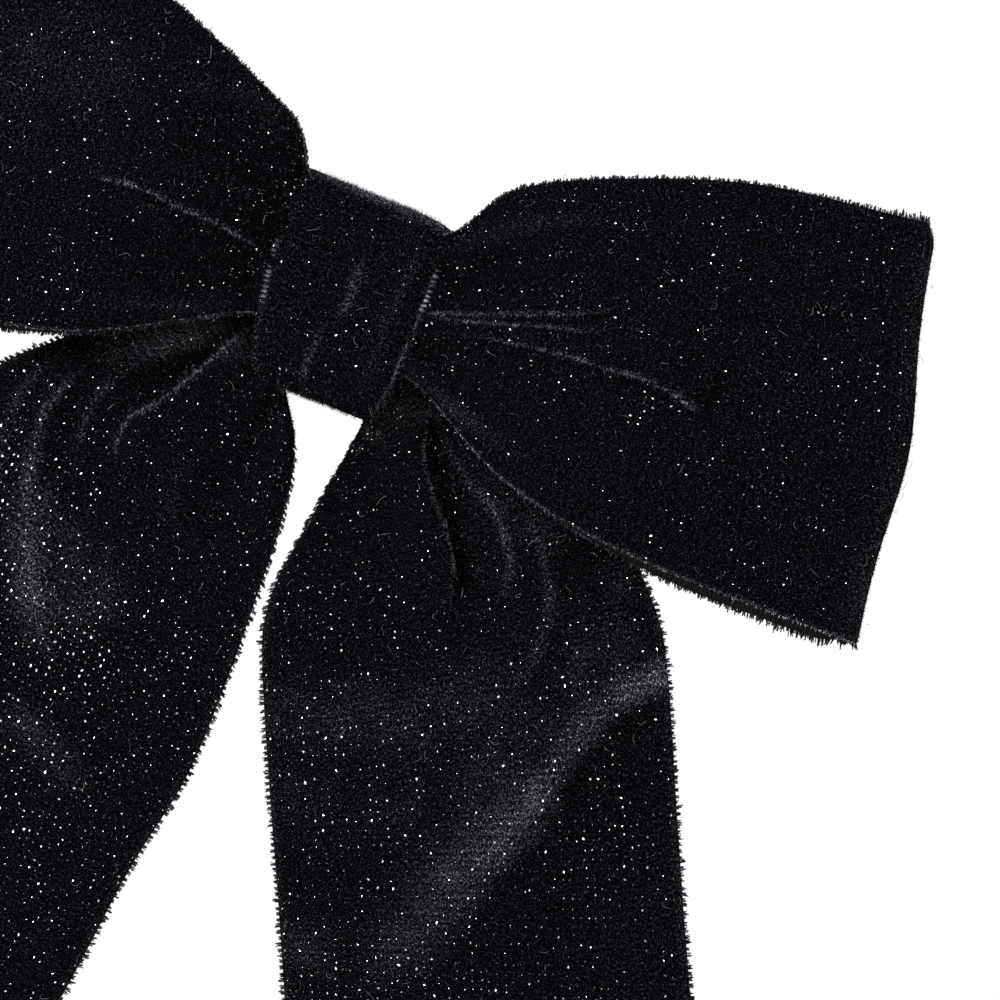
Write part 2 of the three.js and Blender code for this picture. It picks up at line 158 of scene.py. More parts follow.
class Fold:
    """A pleat, or a patch where the pile is painted paler or darker, along a line in X and Z seen from the
    front.

    height is how far it stands forward, or back where it is negative. nap_and_painted_light is how far
    the pile opens and pales along it, partly as opened pile and partly as painted highlight and sheen,
    and how much painted shade darkens it where it is negative. widths and glow are how far the height
    and this paleness reach to the left and to the right of the line, as it is followed. fade is the
    share of the line's length over which both come in, and then go out. One number stands for two that
    are alike. Where a fold is laid, the pile lies flat across its line in rungs.
    """

    def __init__(self, points, height, widths, nap_and_painted_light, glow, fade, laid=False):
        self.path = dense(points, 16)
        self.place = lengths_along(self.path)
        self.tangent = unit(np.gradient(self.path, axis=0))
        self.height, self.nap_and_painted_light, self.laid = height, nap_and_painted_light, laid
        self.widths, self.glow, self.fade = (
            pair if isinstance(pair, tuple) else (pair, pair) for pair in (widths, glow, fade))

    def strength(self, place):
        share = place / self.place[-1]
        return smooth(share, 0, self.fade[0]) * (1 - smooth(share, 1 - self.fade[1], 1))

    def apply(self, x, z):
        """Forward displacement and nap_and_painted_light at points."""
        points = np.stack([x.ravel(), z.ravel()], axis=1)
        reach = 2.6 * max(*self.widths, *self.glow)
        inside = (points > self.path.min(0) - reach) & (points < self.path.max(0) + reach)
        near = np.nonzero(inside.all(axis=1))[0]
        forward, nap_and_painted_light = np.zeros((2, len(points)))
        if len(near):
            offset = points[near, None, :] - self.path[None]
            best = np.argmin((offset ** 2).sum(-1), axis=1)
            d, t = offset[np.arange(len(near)), best], self.tangent[best]
            left = t[:, 0] * d[:, 1] - t[:, 1] * d[:, 0] > 0
            away = np.linalg.norm(d, axis=1)
            strength = self.strength(self.place[best])
            forward[near] = self.height * strength * bell(away, np.where(left, *self.widths))
            nap_and_painted_light[near] = self.nap_and_painted_light * strength * bell(away, np.where(left, *self.glow))
        return forward.reshape(x.shape), nap_and_painted_light.reshape(x.shape)


def mottled(nap_and_painted_light, cells, seed):
    """The painted pale patches, partly opened pile and partly painted sheen and highlight, broken up into
    tufts of a few millimetres.
    """
    patches = soft_noise(nap_and_painted_light.shape, cells, seed)
    return np.where(nap_and_painted_light > 0, nap_and_painted_light * np.clip(1 + 0.95 * patches, 0.15, 2.0), nap_and_painted_light)


def fold_all(folds, x, z):
    """Forward displacement and nap_and_painted_light at points, from a list of folds."""
    forward, pale, dark = np.zeros((3, *x.shape))
    for fold in folds:
        f, n = fold.apply(x, z)
        forward += f
        pale = np.maximum(pale, n)
        dark = np.minimum(dark, n)
    # pale holds opened pile and painted highlight, and dark holds painted shade
    return forward, pale + dark * (1 - pale)


# ---- Ribbon meshes ----

def normals_of(points, closed):
    """Unit normals of a grid of points: rows run along the ribbon and columns across it."""
    if closed:
        along = np.roll(points, -1, 0) - np.roll(points, 1, 0)
    else:
        along = np.gradient(points, axis=0)
    return unit(np.cross(along, np.gradient(points, axis=1)))


def mesh_object(name, vertices, faces, *materials, smooth_shading=True):
    """faces is an array with one row of vertex numbers for each face."""
    faces = np.asarray(faces, np.int32)
    mesh = bpy.data.meshes.new(name)
    mesh.vertices.add(len(vertices))
    mesh.vertices.foreach_set("co", (np.asarray(vertices, float) * MM).ravel())
    mesh.loops.add(faces.size)
    mesh.loops.foreach_set("vertex_index", faces.ravel())
    mesh.polygons.add(len(faces))
    mesh.polygons.foreach_set("loop_start", np.arange(0, faces.size, faces.shape[1], dtype=np.int32))
    mesh.polygons.foreach_set("loop_total", np.full(len(faces), faces.shape[1], np.int32))
    mesh.polygons.foreach_set("use_smooth", np.full(len(faces), smooth_shading))
    mesh.update(calc_edges=True)
    mesh.validate()
    for material in materials:
        mesh.materials.append(MATERIALS[material])
    piece = bpy.data.objects.new(name, mesh)
    bpy.context.scene.collection.objects.link(piece)
    return piece


def write_nap_and_painted_light(piece, values):
    layer = piece.data.attributes.new("nap_and_painted_light", "FLOAT", "POINT")
    layer.data.foreach_set("value", values.astype(np.float32))


class Ribbon:
    """A length of ribbon as a grid of points, from which its cloth, pile, fringe and glitter are made.

    points runs along the ribbon by its rows and across it by its columns, with the pile on the side
    that the normals face. flat_along and flat_across are where each row and column lie on the flat
    cloth, and its length is measured along its middle.
    """

    # nap_and_painted_light gives each point how far its pile is painted paler, as opened pile, highlight
    # and sheen, or darker as painted shade
    def __init__(self, points, closed, nap_and_painted_light, width=RIBBON_WIDTH):
        self.points, self.closed, self.nap_and_painted_light, self.width = points, closed, nap_and_painted_light, width
        self.normals = normals_of(points, closed)
        self.flat_along = lengths_along(points[:, points.shape[1] // 2])
        self.flat_across = np.linspace(0, width, points.shape[1])

    def sample(self, row, column):
        """Point, normal, direction along, direction across and nap_and_painted_light at fractional rows and
        columns.
        """
        rows, columns = self.points.shape[:2]
        r0 = np.floor(row).astype(int)
        c0 = np.clip(np.floor(column).astype(int), 0, columns - 2)
        if self.closed:
            r0, r1 = r0 % rows, (r0 + 1) % rows
        else:
            r0 = np.clip(r0, 0, rows - 2)
            r1 = r0 + 1
        fr = (row - np.floor(row))[:, None]
        fc = (column - c0)[:, None]

        def mix(field):
            low = field[r0, c0] * (1 - fc) + field[r0, c0 + 1] * fc
            high = field[r1, c0] * (1 - fc) + field[r1, c0 + 1] * fc
            return low * (1 - fr) + high * fr
        along = self.points[r1, c0] - self.points[r0, c0]
        across = self.points[r0, c0 + 1] - self.points[r0, c0]
        return (mix(self.points), unit(mix(self.normals)), unit(along), unit(across),
                mix(self.nap_and_painted_light[..., None])[:, 0])

    def cell_area(self):
        across = np.linalg.norm(np.diff(self.points, axis=1), axis=2)
        nxt = np.roll(self.points, -1, 0) if self.closed else np.r_[self.points[1:], self.points[-1:]]
        along = np.linalg.norm(nxt - self.points, axis=2)
        return across * (along[:, :-1] + along[:, 1:]) / 2

    def cloth(self, name):
        rows, columns = self.points.shape[:2]
        rim = np.ones(columns)
        rim[[0, -1]] = 0.45
        rim[[1, -2]] = 0.85
        half = self.normals * (CLOTH / 2) * rim[None, :, None]
        front = (self.points + half).reshape(-1, 3)
        back = (self.points - half).reshape(-1, 3)
        count = rows * columns
        index = np.arange(count).reshape(rows, columns)
        nxt = np.roll(index, -1, 0) if self.closed else index[1:]
        low = index if self.closed else index[:-1]

        def quads(a, b, c, d):
            return np.stack([a, b, c, d], axis=-1).reshape(-1, 4)
        faces = [
            quads(low[:, :-1], nxt[:, :-1], nxt[:, 1:], low[:, 1:]),
            quads(low[:, :-1], low[:, 1:], nxt[:, 1:], nxt[:, :-1]) + count,
            quads(low[:, 0], low[:, 0] + count, nxt[:, 0] + count, nxt[:, 0]),
            quads(low[:, -1], nxt[:, -1], nxt[:, -1] + count, low[:, -1] + count),
        ]
        if not self.closed:
            for row in (index[0], index[-1, ::-1]):
                faces.append(quads(row[:-1], row[1:], row[1:] + count, row[:-1] + count))
        on_back = np.concatenate([np.full(len(f), i == 1, np.int32) for i, f in enumerate(faces)])
        faces = np.concatenate(faces)
        piece = mesh_object(name, np.concatenate([front, back]), faces, "velvet", "backing")
        piece.data.polygons.foreach_set("material_index", on_back)
        uv = np.stack(np.broadcast_arrays(self.flat_across[None, :], self.flat_along[:, None]), axis=-1)
        uv = np.tile(uv.reshape(-1, 2), (2, 1)) * MM
        corner = np.zeros(len(piece.data.loops), np.int32)
        piece.data.loops.foreach_get("vertex_index", corner)
        corner_uv = uv[corner]
        if self.closed:
            # the last row of cells joins the first row again, where the flat length starts anew
            wraps = (corner % count) < columns
            in_last = np.repeat(((faces % count) >= count - columns).any(axis=1), 4)
            corner_uv[wraps & in_last, 1] += (self.flat_along[-1] + self.flat_along[1]) * MM
        piece.data.uv_layers.new(name="cloth").data.foreach_set("uv", corner_uv.ravel())
        write_nap_and_painted_light(piece, np.tile(self.nap_and_painted_light.ravel(), 2))
        return piece

    def scatter(self, density, rows=slice(None)):
        """Random places on a stretch of rows, so many to a square millimetre."""
        area = np.zeros((len(self.points), self.points.shape[1] - 1))
        area[rows] = self.cell_area()[rows]
        count = rng.poisson(area * density)
        rows, columns = np.nonzero(count)
        repeat = count[rows, columns]
        rows, columns = np.repeat(rows, repeat), np.repeat(columns, repeat)
        return rows + rng.random(len(rows)), columns + rng.random(len(columns))


def across_frame(way, hint):
    """Two unit directions square to each way."""
    aside = unit(np.cross(way, hint + 1e-3))
    return aside, np.cross(way, aside)


def three_round(centre, aside, other, radius):
    return [centre + (aside * math.cos(t) + other * math.sin(t)) * radius for t in THREE_TURNS]


def many_bodies(name, vertices, one, tone, material, smooth_shading=True):
    """The same small closed body many times over; vertices lists each body corner's places."""
    corners = len(vertices)
    places = np.stack(vertices, axis=1).reshape(-1, 3)
    faces = (np.arange(len(tone))[:, None, None] * corners + np.array(one)[None]).reshape(-1, 3)
    piece = mesh_object(name, places, faces, material, smooth_shading=smooth_shading)
    write_nap_and_painted_light(piece, np.repeat(tone, corners))
    return piece


def slivers(name, root, way, length, width, tone):
    """Pile fibres as slim three-sided points."""
    foot = three_round(root, *across_frame(way, random_unit(len(root))), width[:, None] / 2)
    vertices = [*foot, root + way * length[:, None]]
    one = [(0, 2, 1), (0, 1, 3), (1, 2, 3), (2, 0, 3)]
    return many_bodies(name, vertices, one, tone, "pile")


def blunt_fibres(name, root, way, length, width, tone):
    """Fringe fibres as three-sided rods of two stretches with blunt ends."""
    bend = random_unit(len(root))
    frame_round = across_frame(way, bend)
    radius, along = width[:, None] / 2, length[:, None]
    vertices = [
        *three_round(root, *frame_round, radius),
        *three_round(root + way * along * 0.6 + bend * along * 0.06, *frame_round, radius),
        *three_round(root + way * along + bend * along * 0.2, *frame_round, radius * 0.8),
    ]
    one = [(0, 2, 1), (6, 7, 8)]
    for low in (0, 3):
        for i in range(3):
            j = (i + 1) % 3
            one += [(low + i, low + j, low + j + 3), (low + i, low + j + 3, low + i + 3)]
    return many_bodies(name, vertices, one, tone, "pile")


def random_unit(count):
    return unit(rng.normal(size=(count, 3)))


WEAVE_ROW = 1.3          # the woven rows that show where the pile opens
TUFT = 0.55              # the pile stands in tufts of this pitch, each with its own tone


def pile_of(ribbon, name, density, rows):
    """The velvet's standing pile over a stretch of rows; it stands thicker where it opens, painted paler
    there as highlight and sheen, and darker as painted shade.
    """
    row, column = ribbon.scatter(density * (1 + 1.5 * np.clip(ribbon.nap_and_painted_light[:, :-1], 0, 1)), rows)
    point, normal, along, _, nap_and_painted_light = ribbon.sample(row, column)
    count = len(point)
    way = unit(normal + 0.30 * along + 0.45 * rng.normal(size=(count, 3)))
    length = PILE * rng.uniform(0.7, 1.2, count)
    root = point + normal * (CLOTH * 0.3)
    at_crease = smooth(np.abs(normal[:, 0]), 0.6, 0.9)
    length *= 1 - 0.35 * at_crease
    place = np.interp(row, np.arange(len(ribbon.flat_along)), ribbon.flat_along)
    ladder = 0.7 + 0.3 * np.sin(place * 2 * math.pi / WEAVE_ROW)
    tufts = rng.random((int(place.max() / TUFT) + 1, int(ribbon.width / TUFT) + 1))
    across_place = column / (ribbon.points.shape[1] - 1) * ribbon.width
    tuft = tufts[(place / TUFT).astype(int), (across_place / TUFT).astype(int)]
    # each tuft has its own random tone, darkened as painted shade where nap_and_painted_light is negative
    tone = 0.30 * tuft ** 2 * rng.random(count) ** 3 * (1 + np.clip(nap_and_painted_light, -1, 0))
    # and painted pale as highlight and sheen where it is positive
    tone += np.clip(nap_and_painted_light, 0, 1) * ladder * (0.25 + 1.3 * tuft ** 1.6) * rng.uniform(0.15, 1.0, count) ** 1.5
    width = rng.uniform(0.07, 0.12, count) * (1 + 0.9 * at_crease)
    return slivers(name, root, way, length, width, tone)


CREST_NAP_AND_PAINTED_LIGHT, CREST_GLOW = 0.3, 0.2     # a crease painted as pale and as sharp as this, as a highlight, has its own pile
CREST_PATCH = 1.6        # it comes and goes in patches of this length
CREST_FIBRES = 9.0       # to a millimetre of a crease
RUNG_FIBRES = 26.0       # and of one where the pile lies in rungs
RUNG = 0.82


def crest_of(ribbon, name, folds, rows):
    """The pile that splays along sharp creases on a stretch of the ribbon's rows, in tones painted pale as
    a highlight along each crease.
    """
    columns = ribbon.points.shape[1]
    tree = KDTree(len(rows) * columns)
    flat = ribbon.points[rows].reshape(-1, 3)
    for i, place in enumerate(flat):
        tree.insert((place[0], 0, place[2]), i)
    tree.balance()
    normals = ribbon.normals[rows].reshape(-1, 3)
    roots, ways, tones, lengths = [], [], [], []
    for fold in folds:
        if fold.nap_and_painted_light < CREST_NAP_AND_PAINTED_LIGHT or min(fold.glow) > CREST_GLOW:
            continue
        total = fold.place[-1]
        count = int(total * (RUNG_FIBRES if fold.laid else CREST_FIBRES))
        spot = np.sort(rng.uniform(0, total, count))
        if fold.laid:
            spot = (np.round(spot / RUNG) + rng.normal(0, 0.13, count)) * RUNG
            spot = np.clip(spot, 0, total - 1e-6)
        strength = fold.strength(spot)
        marks = np.arange(0, total + CREST_PATCH, CREST_PATCH)
        patches = np.interp(spot, marks, rng.uniform(0.2, 1.0, len(marks)))
        before = np.maximum(np.searchsorted(fold.place, spot, side="right") - 1, 0)
        line = np.stack([np.interp(spot, fold.place, axis) for axis in fold.path.T], axis=1)
        left_is_sharp = 1 if fold.glow[0] < fold.glow[1] else -1
        for k in range(count):
            t = fold.tangent[before[k]]
            steep = left_is_sharp * np.array((-t[1], 0, t[0]))
            nudge = -steep * (rng.uniform(0.2, 0.6) if fold.laid else rng.uniform(-0.08, 0.14))
            place = np.array((line[k, 0] + nudge[0], 0, line[k, 1] + nudge[2]))
            near, at, _ = tree.find(place)
            root = flat[at] + (place - np.array(near))
            if fold.laid:
                way = 0.35 * normals[at] + steep + 0.08 * rng.normal(size=3)
                lift = 0.75
            else:
                way = normals[at] + steep * rng.normal(0.35, 0.25) + 0.25 * rng.normal(size=3)
                lift = 0.3
            roots.append(root + normals[at] * CLOTH * lift)
            ways.append(way / np.linalg.norm(way))
            # the crease fibres' tone is a painted highlight, in patches
            tones.append(strength[k] * fold.nap_and_painted_light * patches[k] * rng.uniform(0.1, 1.0))
            lengths.append(rng.uniform(0.9, 1.5) if fold.laid else rng.uniform(0.6, 1.1))
    length, width = PILE * np.array(lengths), rng.uniform(0.06, 0.10, len(roots))
    return slivers(name, np.array(roots), np.array(ways), length, width, np.array(tones))


def fringe_of(ribbon, name, reach, tuft_pitch, tuft_spread, per_tuft, near_ends=1.0, front_low=1.0):
    """Tufts of loose pile that stand out past both selvedges.

    They are longer by near_ends at the loops' ends, and shorter by front_low at the front's lower
    edge, where they are also painted pale, as a highlight.
    """
    columns = ribbon.points.shape[1]
    parts = []
    for column, sign in ((0.0, -1), (columns - 1.0, 1)):
        place = lengths_along(ribbon.points[:, int(column)])
        tufts = np.arange(0.4, place[-1] - 0.4, tuft_pitch)
        tufts = tufts + rng.normal(0, 0.12 * tuft_pitch, len(tufts))
        centre = np.repeat(tufts, per_tuft)
        lean = np.repeat(rng.normal(0, 0.12, len(tufts)), per_tuft)
        tuft_reach = np.repeat(rng.uniform(0.5, 1.0, len(tufts)), per_tuft)
        spot = np.clip(centre + tuft_spread * rng.uniform(-1, 1, len(centre)), 0, place[-1])
        row = np.interp(spot, place, np.arange(len(place)))
        column_at = np.full(len(row), column) - sign * rng.uniform(0, 0.8, len(row))
        point, normal, along, across, _ = ribbon.sample(row, column_at)
        way = sign * across + lean[:, None] * along + normal * rng.normal(0.14, 0.14, len(row))[:, None]
        way = unit(way + 0.06 * rng.normal(size=way.shape))
        longer = 1 + (near_ends - 1) * smooth(np.abs(point[:, 0]), 68, 82) * rng.random(len(row))
        low_edge = (normal[:, 1] < -0.3) & (sign < 0) & (front_low < 1)
        longer = longer * np.where(low_edge, front_low, 1.0)
        length = tuft_reach * reach * longer * rng.uniform(0.85, 1.05, len(row))
        parts.append((point, way, length, low_edge))
    root, way, length, low_edge = map(np.concatenate, zip(*parts))
    width = rng.uniform(0.18, 0.28, len(root)) * np.where(low_edge, 0.6, 1.0)
    # fibres on the front's lower edge are painted pale, as a highlight
    tone = rng.random(len(root)) ** 2 * np.where(low_edge, 0.75, 0.16)
    return blunt_fibres(name, root, way, length, width, tone)


def frayed_ends(ribbon, name, pitch, reach):
    """Short cut yarns at the two ends of a ribbon."""
    rows, columns = ribbon.points.shape[:2]
    parts = []
    for row, sign in ((0.0, -1), (rows - 1.001, 1)):
        count = int(ribbon.width / pitch)
        column = np.linspace(0.05, columns - 1.05, count) + rng.normal(0, 0.1, count)
        column = np.clip(column, 0, columns - 1.001)
        point, normal, along, _, _ = ribbon.sample(np.full(count, row), column)
        way = unit(sign * along + 0.12 * rng.normal(size=(count, 3)))
        root = point + normal * rng.uniform(-0.2, 0.3, count)[:, None] - way * 0.2
        parts.append((root, way, reach * rng.uniform(0.4, 1.0, count)))
    root, way, length = map(np.concatenate, zip(*parts))
    width = rng.uniform(0.12, 0.22, len(root))
    tone = 0.16 * rng.random(len(root)) ** 2
    return blunt_fibres(name, root, way, length, width, tone)


YARN_ACROSS = 1.25       # the metallic yarns show at this pitch across the ribbon
YARN_ALONG = 1.5         # and at this pitch along it
LIGHT_CATCHING = np.array((-0.22, -0.96, 0.14))      # a facet turned this way shines to the front


def glitter_of(ribbon, name, keep, zones):
    """Where the metallic yarn comes to the surface: small bright facets in the cloth's own grid.

    Each zone is an X, a Z, a radius and how much more of the yarn shows there.
    """
    total = ribbon.flat_along[-1]
    along = np.arange(0.5, total, YARN_ALONG)
    across = np.arange(0.6, ribbon.width - 0.4, YARN_ACROSS)
    drift = soft_noise((len(along), len(across)), (int(total / 14), 5), 31).ravel()
    a, c = (g.ravel() for g in np.meshgrid(along, across, indexing="ij"))
    a = a + rng.normal(0, 0.20, len(a))
    c = np.clip(c + rng.normal(0, 0.14, len(c)), 0, ribbon.width)
    row = np.interp(a, ribbon.flat_along, np.arange(len(ribbon.flat_along)))
    column = np.clip(c / ribbon.width * (ribbon.points.shape[1] - 1), 0, ribbon.points.shape[1] - 1.001)
    point, normal, way, _, _ = ribbon.sample(row, column)
    boost = np.zeros(len(point))
    for x, z, radius, more in zones:
        boost = np.maximum(boost, more * bell(np.hypot(point[:, 0] - x, point[:, 2] - z), radius))
    chosen = rng.random(len(a)) < keep * (1 + 0.6 * drift) + boost
    point, normal, way, boost = point[chosen], normal[chosen], way[chosen], boost[chosen]
    count = len(point)
    boost = np.minimum(boost, 1)
    facing = normal * (1 - 0.7 * boost[:, None]) + LIGHT_CATCHING * 0.7 * boost[:, None]
    facing = unit(facing + (0.40 - 0.16 * boost)[:, None] * rng.normal(size=(count, 3)))
    long_way = way + 0.6 * rng.normal(size=(count, 3))
    long_way = unit(long_way - facing * (long_way * facing).sum(1)[:, None])
    wide_way = np.cross(facing, long_way)
    size = 0.08 + (0.19 + 0.08 * boost) * rng.random(count) ** (2.8 - 1.7 * boost)
    centre = point + normal * (CLOTH / 2 + rng.uniform(0.35, 0.85, count)[:, None] * PILE)
    half_long, half_wide = size[:, None], (size * 0.62)[:, None]
    corners = [
        centre + long_way * half_long, centre + wide_way * half_wide,
        centre - long_way * half_long, centre - wide_way * half_wide,
        centre + facing * 0.02, centre - facing * 0.03,
    ]
    one = [(0, 1, 4), (1, 2, 4), (2, 3, 4), (3, 0, 4), (1, 0, 5), (2, 1, 5), (3, 2, 5), (0, 3, 5)]
    return many_bodies(name, corners, one, rng.random(count), "lurex", smooth_shading=False)


def strays_of(ribbon, name, density):
    """Shed fibres that lie curled on the pile."""
    row, column = ribbon.scatter(density)
    point, normal, along, across, _ = ribbon.sample(row, column)
    vertices, faces = [], []
    steps, radius = 8, 0.032
    for i in range(len(point)):
        angle, curl = rng.uniform(0, 2 * math.pi), rng.normal(0, 1.6)
        length = rng.uniform(0.7, 2.4)
        t = np.linspace(0, 1, steps)
        heading = angle + curl * t * t
        step = length / steps
        du, dv = np.cumsum(np.cos(heading)) * step, np.cumsum(np.sin(heading)) * step
        lift = CLOTH / 2 + PILE * (0.85 + 0.5 * np.sin(t * math.pi) * rng.random())
        line = point[i] + along[i] * du[:, None] + across[i] * dv[:, None] + normal[i] * lift[:, None]
        tangent = np.gradient(line, axis=0)
        side = unit(np.cross(tangent, normal[i]))
        top = unit(np.cross(side, tangent))
        base = len(vertices) * 3 * steps
        vertices.append(np.stack(three_round(line, side, top, radius), axis=1).reshape(-1, 3))
        for s in range(steps - 1):
            for k in range(3):
                a, b = base + 3 * s + k, base + 3 * s + (k + 1) % 3
                faces += [(a, b, b + 3), (a, b + 3, a + 3)]
        end = base + 3 * (steps - 1)
        faces += [(base, base + 2, base + 1), (end, end + 1, end + 2)]
    return mesh_object(name, np.concatenate(vertices), faces, "loose_fibre")


# ---- Materials ----

MATERIALS = {}


class Nodes:
    """A short way to write a node tree."""

    def __init__(self, name):
        MATERIALS[name] = bpy.data.materials.new(name)
        MATERIALS[name].use_nodes = True
        self.tree = MATERIALS[name].node_tree
        self.shader = self.tree.nodes["Principled BSDF"]

    def add(self, kind, inputs=None, **settings):
        node = self.tree.nodes.new(kind)
        for key, value in settings.items():
            setattr(node, key, value)
        for key, value in (inputs or {}).items():
            self.set(node.inputs[key], value)
        return node

    def set(self, socket, value):
        if isinstance(value, bpy.types.NodeSocket):
            self.tree.links.new(value, socket)
        else:
            socket.default_value = value

    def math(self, operation, a, b=0.0, clamp=False):
        node = self.add("ShaderNodeMath", operation=operation, use_clamp=clamp)
        self.set(node.inputs[0], a)
        self.set(node.inputs[1], b)
        return node.outputs[0]

    def mix_colour(self, factor, a, b):
        node = self.add("ShaderNodeMix", data_type="RGBA")
        self.set(node.inputs["Factor"], factor)
        self.set(node.inputs[6], a)
        self.set(node.inputs[7], b)
        return node.outputs[2]

    def ramp(self, factor, low, high, to_low=0.0, to_high=1.0):
        node = self.add("ShaderNodeMapRange", clamp=True)
        for socket, value in zip(node.inputs, (factor, low, high, to_low, to_high)):
            self.set(socket, value)
        return node.outputs[0]

    def noise(self, vector, scale, detail=2.0, roughness=0.5):
        node = self.add("ShaderNodeTexNoise", {"Vector": vector, "Scale": scale, "Detail": detail,
                                               "Roughness": roughness})
        return node.outputs["Fac"]

    def wave(self, vector, scale, bands, distortion):
        node = self.add("ShaderNodeTexWave", {"Vector": vector, "Scale": scale, "Distortion": distortion},
                        bands_direction=bands)
        return node.outputs["Fac"]

    def cloth_place(self):
        return self.add("ShaderNodeUVMap", uv_map="cloth").outputs["UV"]

    def object_place(self):
        return self.add("ShaderNodeTexCoord").outputs["Object"]

    def nap_and_painted_light(self):
        return self.add("ShaderNodeAttribute", attribute_name="nap_and_painted_light").outputs["Fac"]

    def stretched(self, vector, scale):
        return self.add("ShaderNodeMapping", {"Vector": vector, "Scale": scale}).outputs["Vector"]

    def bump(self, height, distance, strength=1.0):
        return self.add("ShaderNodeBump", {"Height": height, "Distance": distance,
                                           "Strength": strength}).outputs["Normal"]

    def principled(self, **values):
        for key, value in values.items():
            self.set(self.shader.inputs[key.replace("_", " ")], value)


def grey(level, blue=1.0):
    """A grey, a little short of red where it leans to blue."""
    return (level * (1 - 0.12 * (blue - 1)), level, level * blue, 1.0)


ROW_WAVES = 240.0        # sets the pitch of the woven rows in the velvet's material


def velvet():
    n = Nodes("velvet")
    cloth = n.cloth_place()
    nap_and_painted_light = n.nap_and_painted_light()
    strokes = n.noise(n.stretched(cloth, (3900.0, 2300.0, 1.0)), 1.0, 2.0, 0.7)
    grains = n.noise(n.stretched(cloth, (2100.0, 2700.0, 1.0)), 1.0, 2.0, 0.7)
    drift = n.noise(n.stretched(cloth, (90.0, 60.0, 1.0)), 1.0, 2.0)
    rows = n.wave(n.stretched(cloth, (0.0, 1.0, 0.0)), ROW_WAVES, "Y", 0.0)
    speckle = n.math("MULTIPLY", n.ramp(strokes, 0.48, 0.72), n.ramp(grains, 0.42, 0.66, 0.06, 1.0))
    dark = n.mix_colour(speckle, grey(0.0002, 1.6), grey(0.044, 1.35))
    # pale colour of opened pile, also the painted highlight and sheen where nap_and_painted_light is
    # positive
    open_pile_and_painted_highlight = n.mix_colour(speckle, grey(0.006, 1.3), grey(0.75, 1.1))
    # painted shade where nap_and_painted_light is negative
    shade = n.ramp(nap_and_painted_light, -0.8, 0.0, 0.15, 1.0)
    open_and_painted_highlight_share = n.math("MULTIPLY", nap_and_painted_light, n.ramp(drift, 0.3, 0.7, 0.6, 1.2), clamp=True)
    open_and_painted_highlight_share = n.math("MULTIPLY", open_and_painted_highlight_share, n.ramp(rows, 0.0, 1.0, 0.45, 1.1), clamp=True)
    colour = n.mix_colour(open_and_painted_highlight_share, n.mix_colour(shade, grey(0.0002, 1.5), dark), open_pile_and_painted_highlight)
    n.principled(
        Base_Color=colour,
        Roughness=0.95,
        Specular_IOR_Level=0.01,
        Normal=n.bump(n.math("ADD", strokes, grains), 0.0006, 1.0),
    )


def backing():
    n = Nodes("backing")
    cloth = n.cloth_place()
    warp = n.wave(n.stretched(cloth, (1.0, 0.0, 0.0)), 420.0, "X", 0.6)
    weft = n.wave(n.stretched(cloth, (0.0, 1.0, 0.0)), 380.0, "Y", 0.6)
    slub = n.noise(n.stretched(cloth, (500.0, 60.0, 1.0)), 1.0, 3.0)
    weave = n.math("MAXIMUM", warp, weft)
    across = n.add("ShaderNodeSeparateXYZ", {"Vector": cloth}).outputs["X"]
    from_middle = n.math("ABSOLUTE", n.math("SUBTRACT", across, RIBBON_WIDTH / 2 * MM))
    selvedge = n.ramp(from_middle, (RIBBON_WIDTH / 2 - 3.6) * MM, (RIBBON_WIDTH / 2 - SELVEDGE) * MM)
    threads = n.mix_colour(n.math("MULTIPLY", weave, slub), grey(0.0012, 1.25), grey(0.02, 1.25))
    n.principled(
        Base_Color=n.mix_colour(selvedge, threads, grey(0.0004, 1.3)),
        Roughness=n.ramp(slub, 0.2, 0.8, 0.46, 0.66),
        Specular_IOR_Level=0.14,
        Normal=n.bump(weave, 0.0002, 0.7),
    )


def pile():
    n = Nodes("pile")
    tone = n.nap_and_painted_light()
    drift = n.noise(n.object_place(), 300.0)
    # fibres go from near black to this pale colour by their tone, which holds random tuft tones and painted
    # highlight, sheen and shade
    light = n.mix_colour(n.ramp(drift, 0.3, 0.7), grey(0.42, 1.27), grey(0.75, 1.14))
    n.principled(
        Base_Color=n.mix_colour(tone, grey(0.0003, 1.6), light),
        Roughness=0.75,
        Specular_IOR_Level=0.03,
    )


def lurex():
    n = Nodes("lurex")
    tone = n.noise(n.object_place(), 1400.0, 1.0)
    n.principled(
        Base_Color=n.mix_colour(n.ramp(tone, 0.35, 0.65), (0.62, 0.64, 0.68, 1), (0.93, 0.92, 0.90, 1)),
        Metallic=1.0,
        Roughness=n.ramp(tone, 0.3, 0.7, 0.20, 0.42),
    )


def loose_fibre():
    n = Nodes("loose_fibre")
    tone = n.noise(n.object_place(), 260.0)
    n.principled(
        Base_Color=n.mix_colour(n.ramp(tone, 0.4, 0.65), grey(0.012), grey(0.16, 1.03)),
        Roughness=0.6,
    )


def thread_material():
    n = Nodes("sewing_thread")
    twist = n.wave(n.object_place(), 1500.0, "DIAGONAL", 1.5)
    n.principled(
        Base_Color=n.mix_colour(twist, grey(0.006, 1.1), grey(0.03, 1.05)),
        Roughness=0.55,
        Sheen_Weight=0.1,
        Normal=n.bump(twist, 0.00012, 0.8),
    )


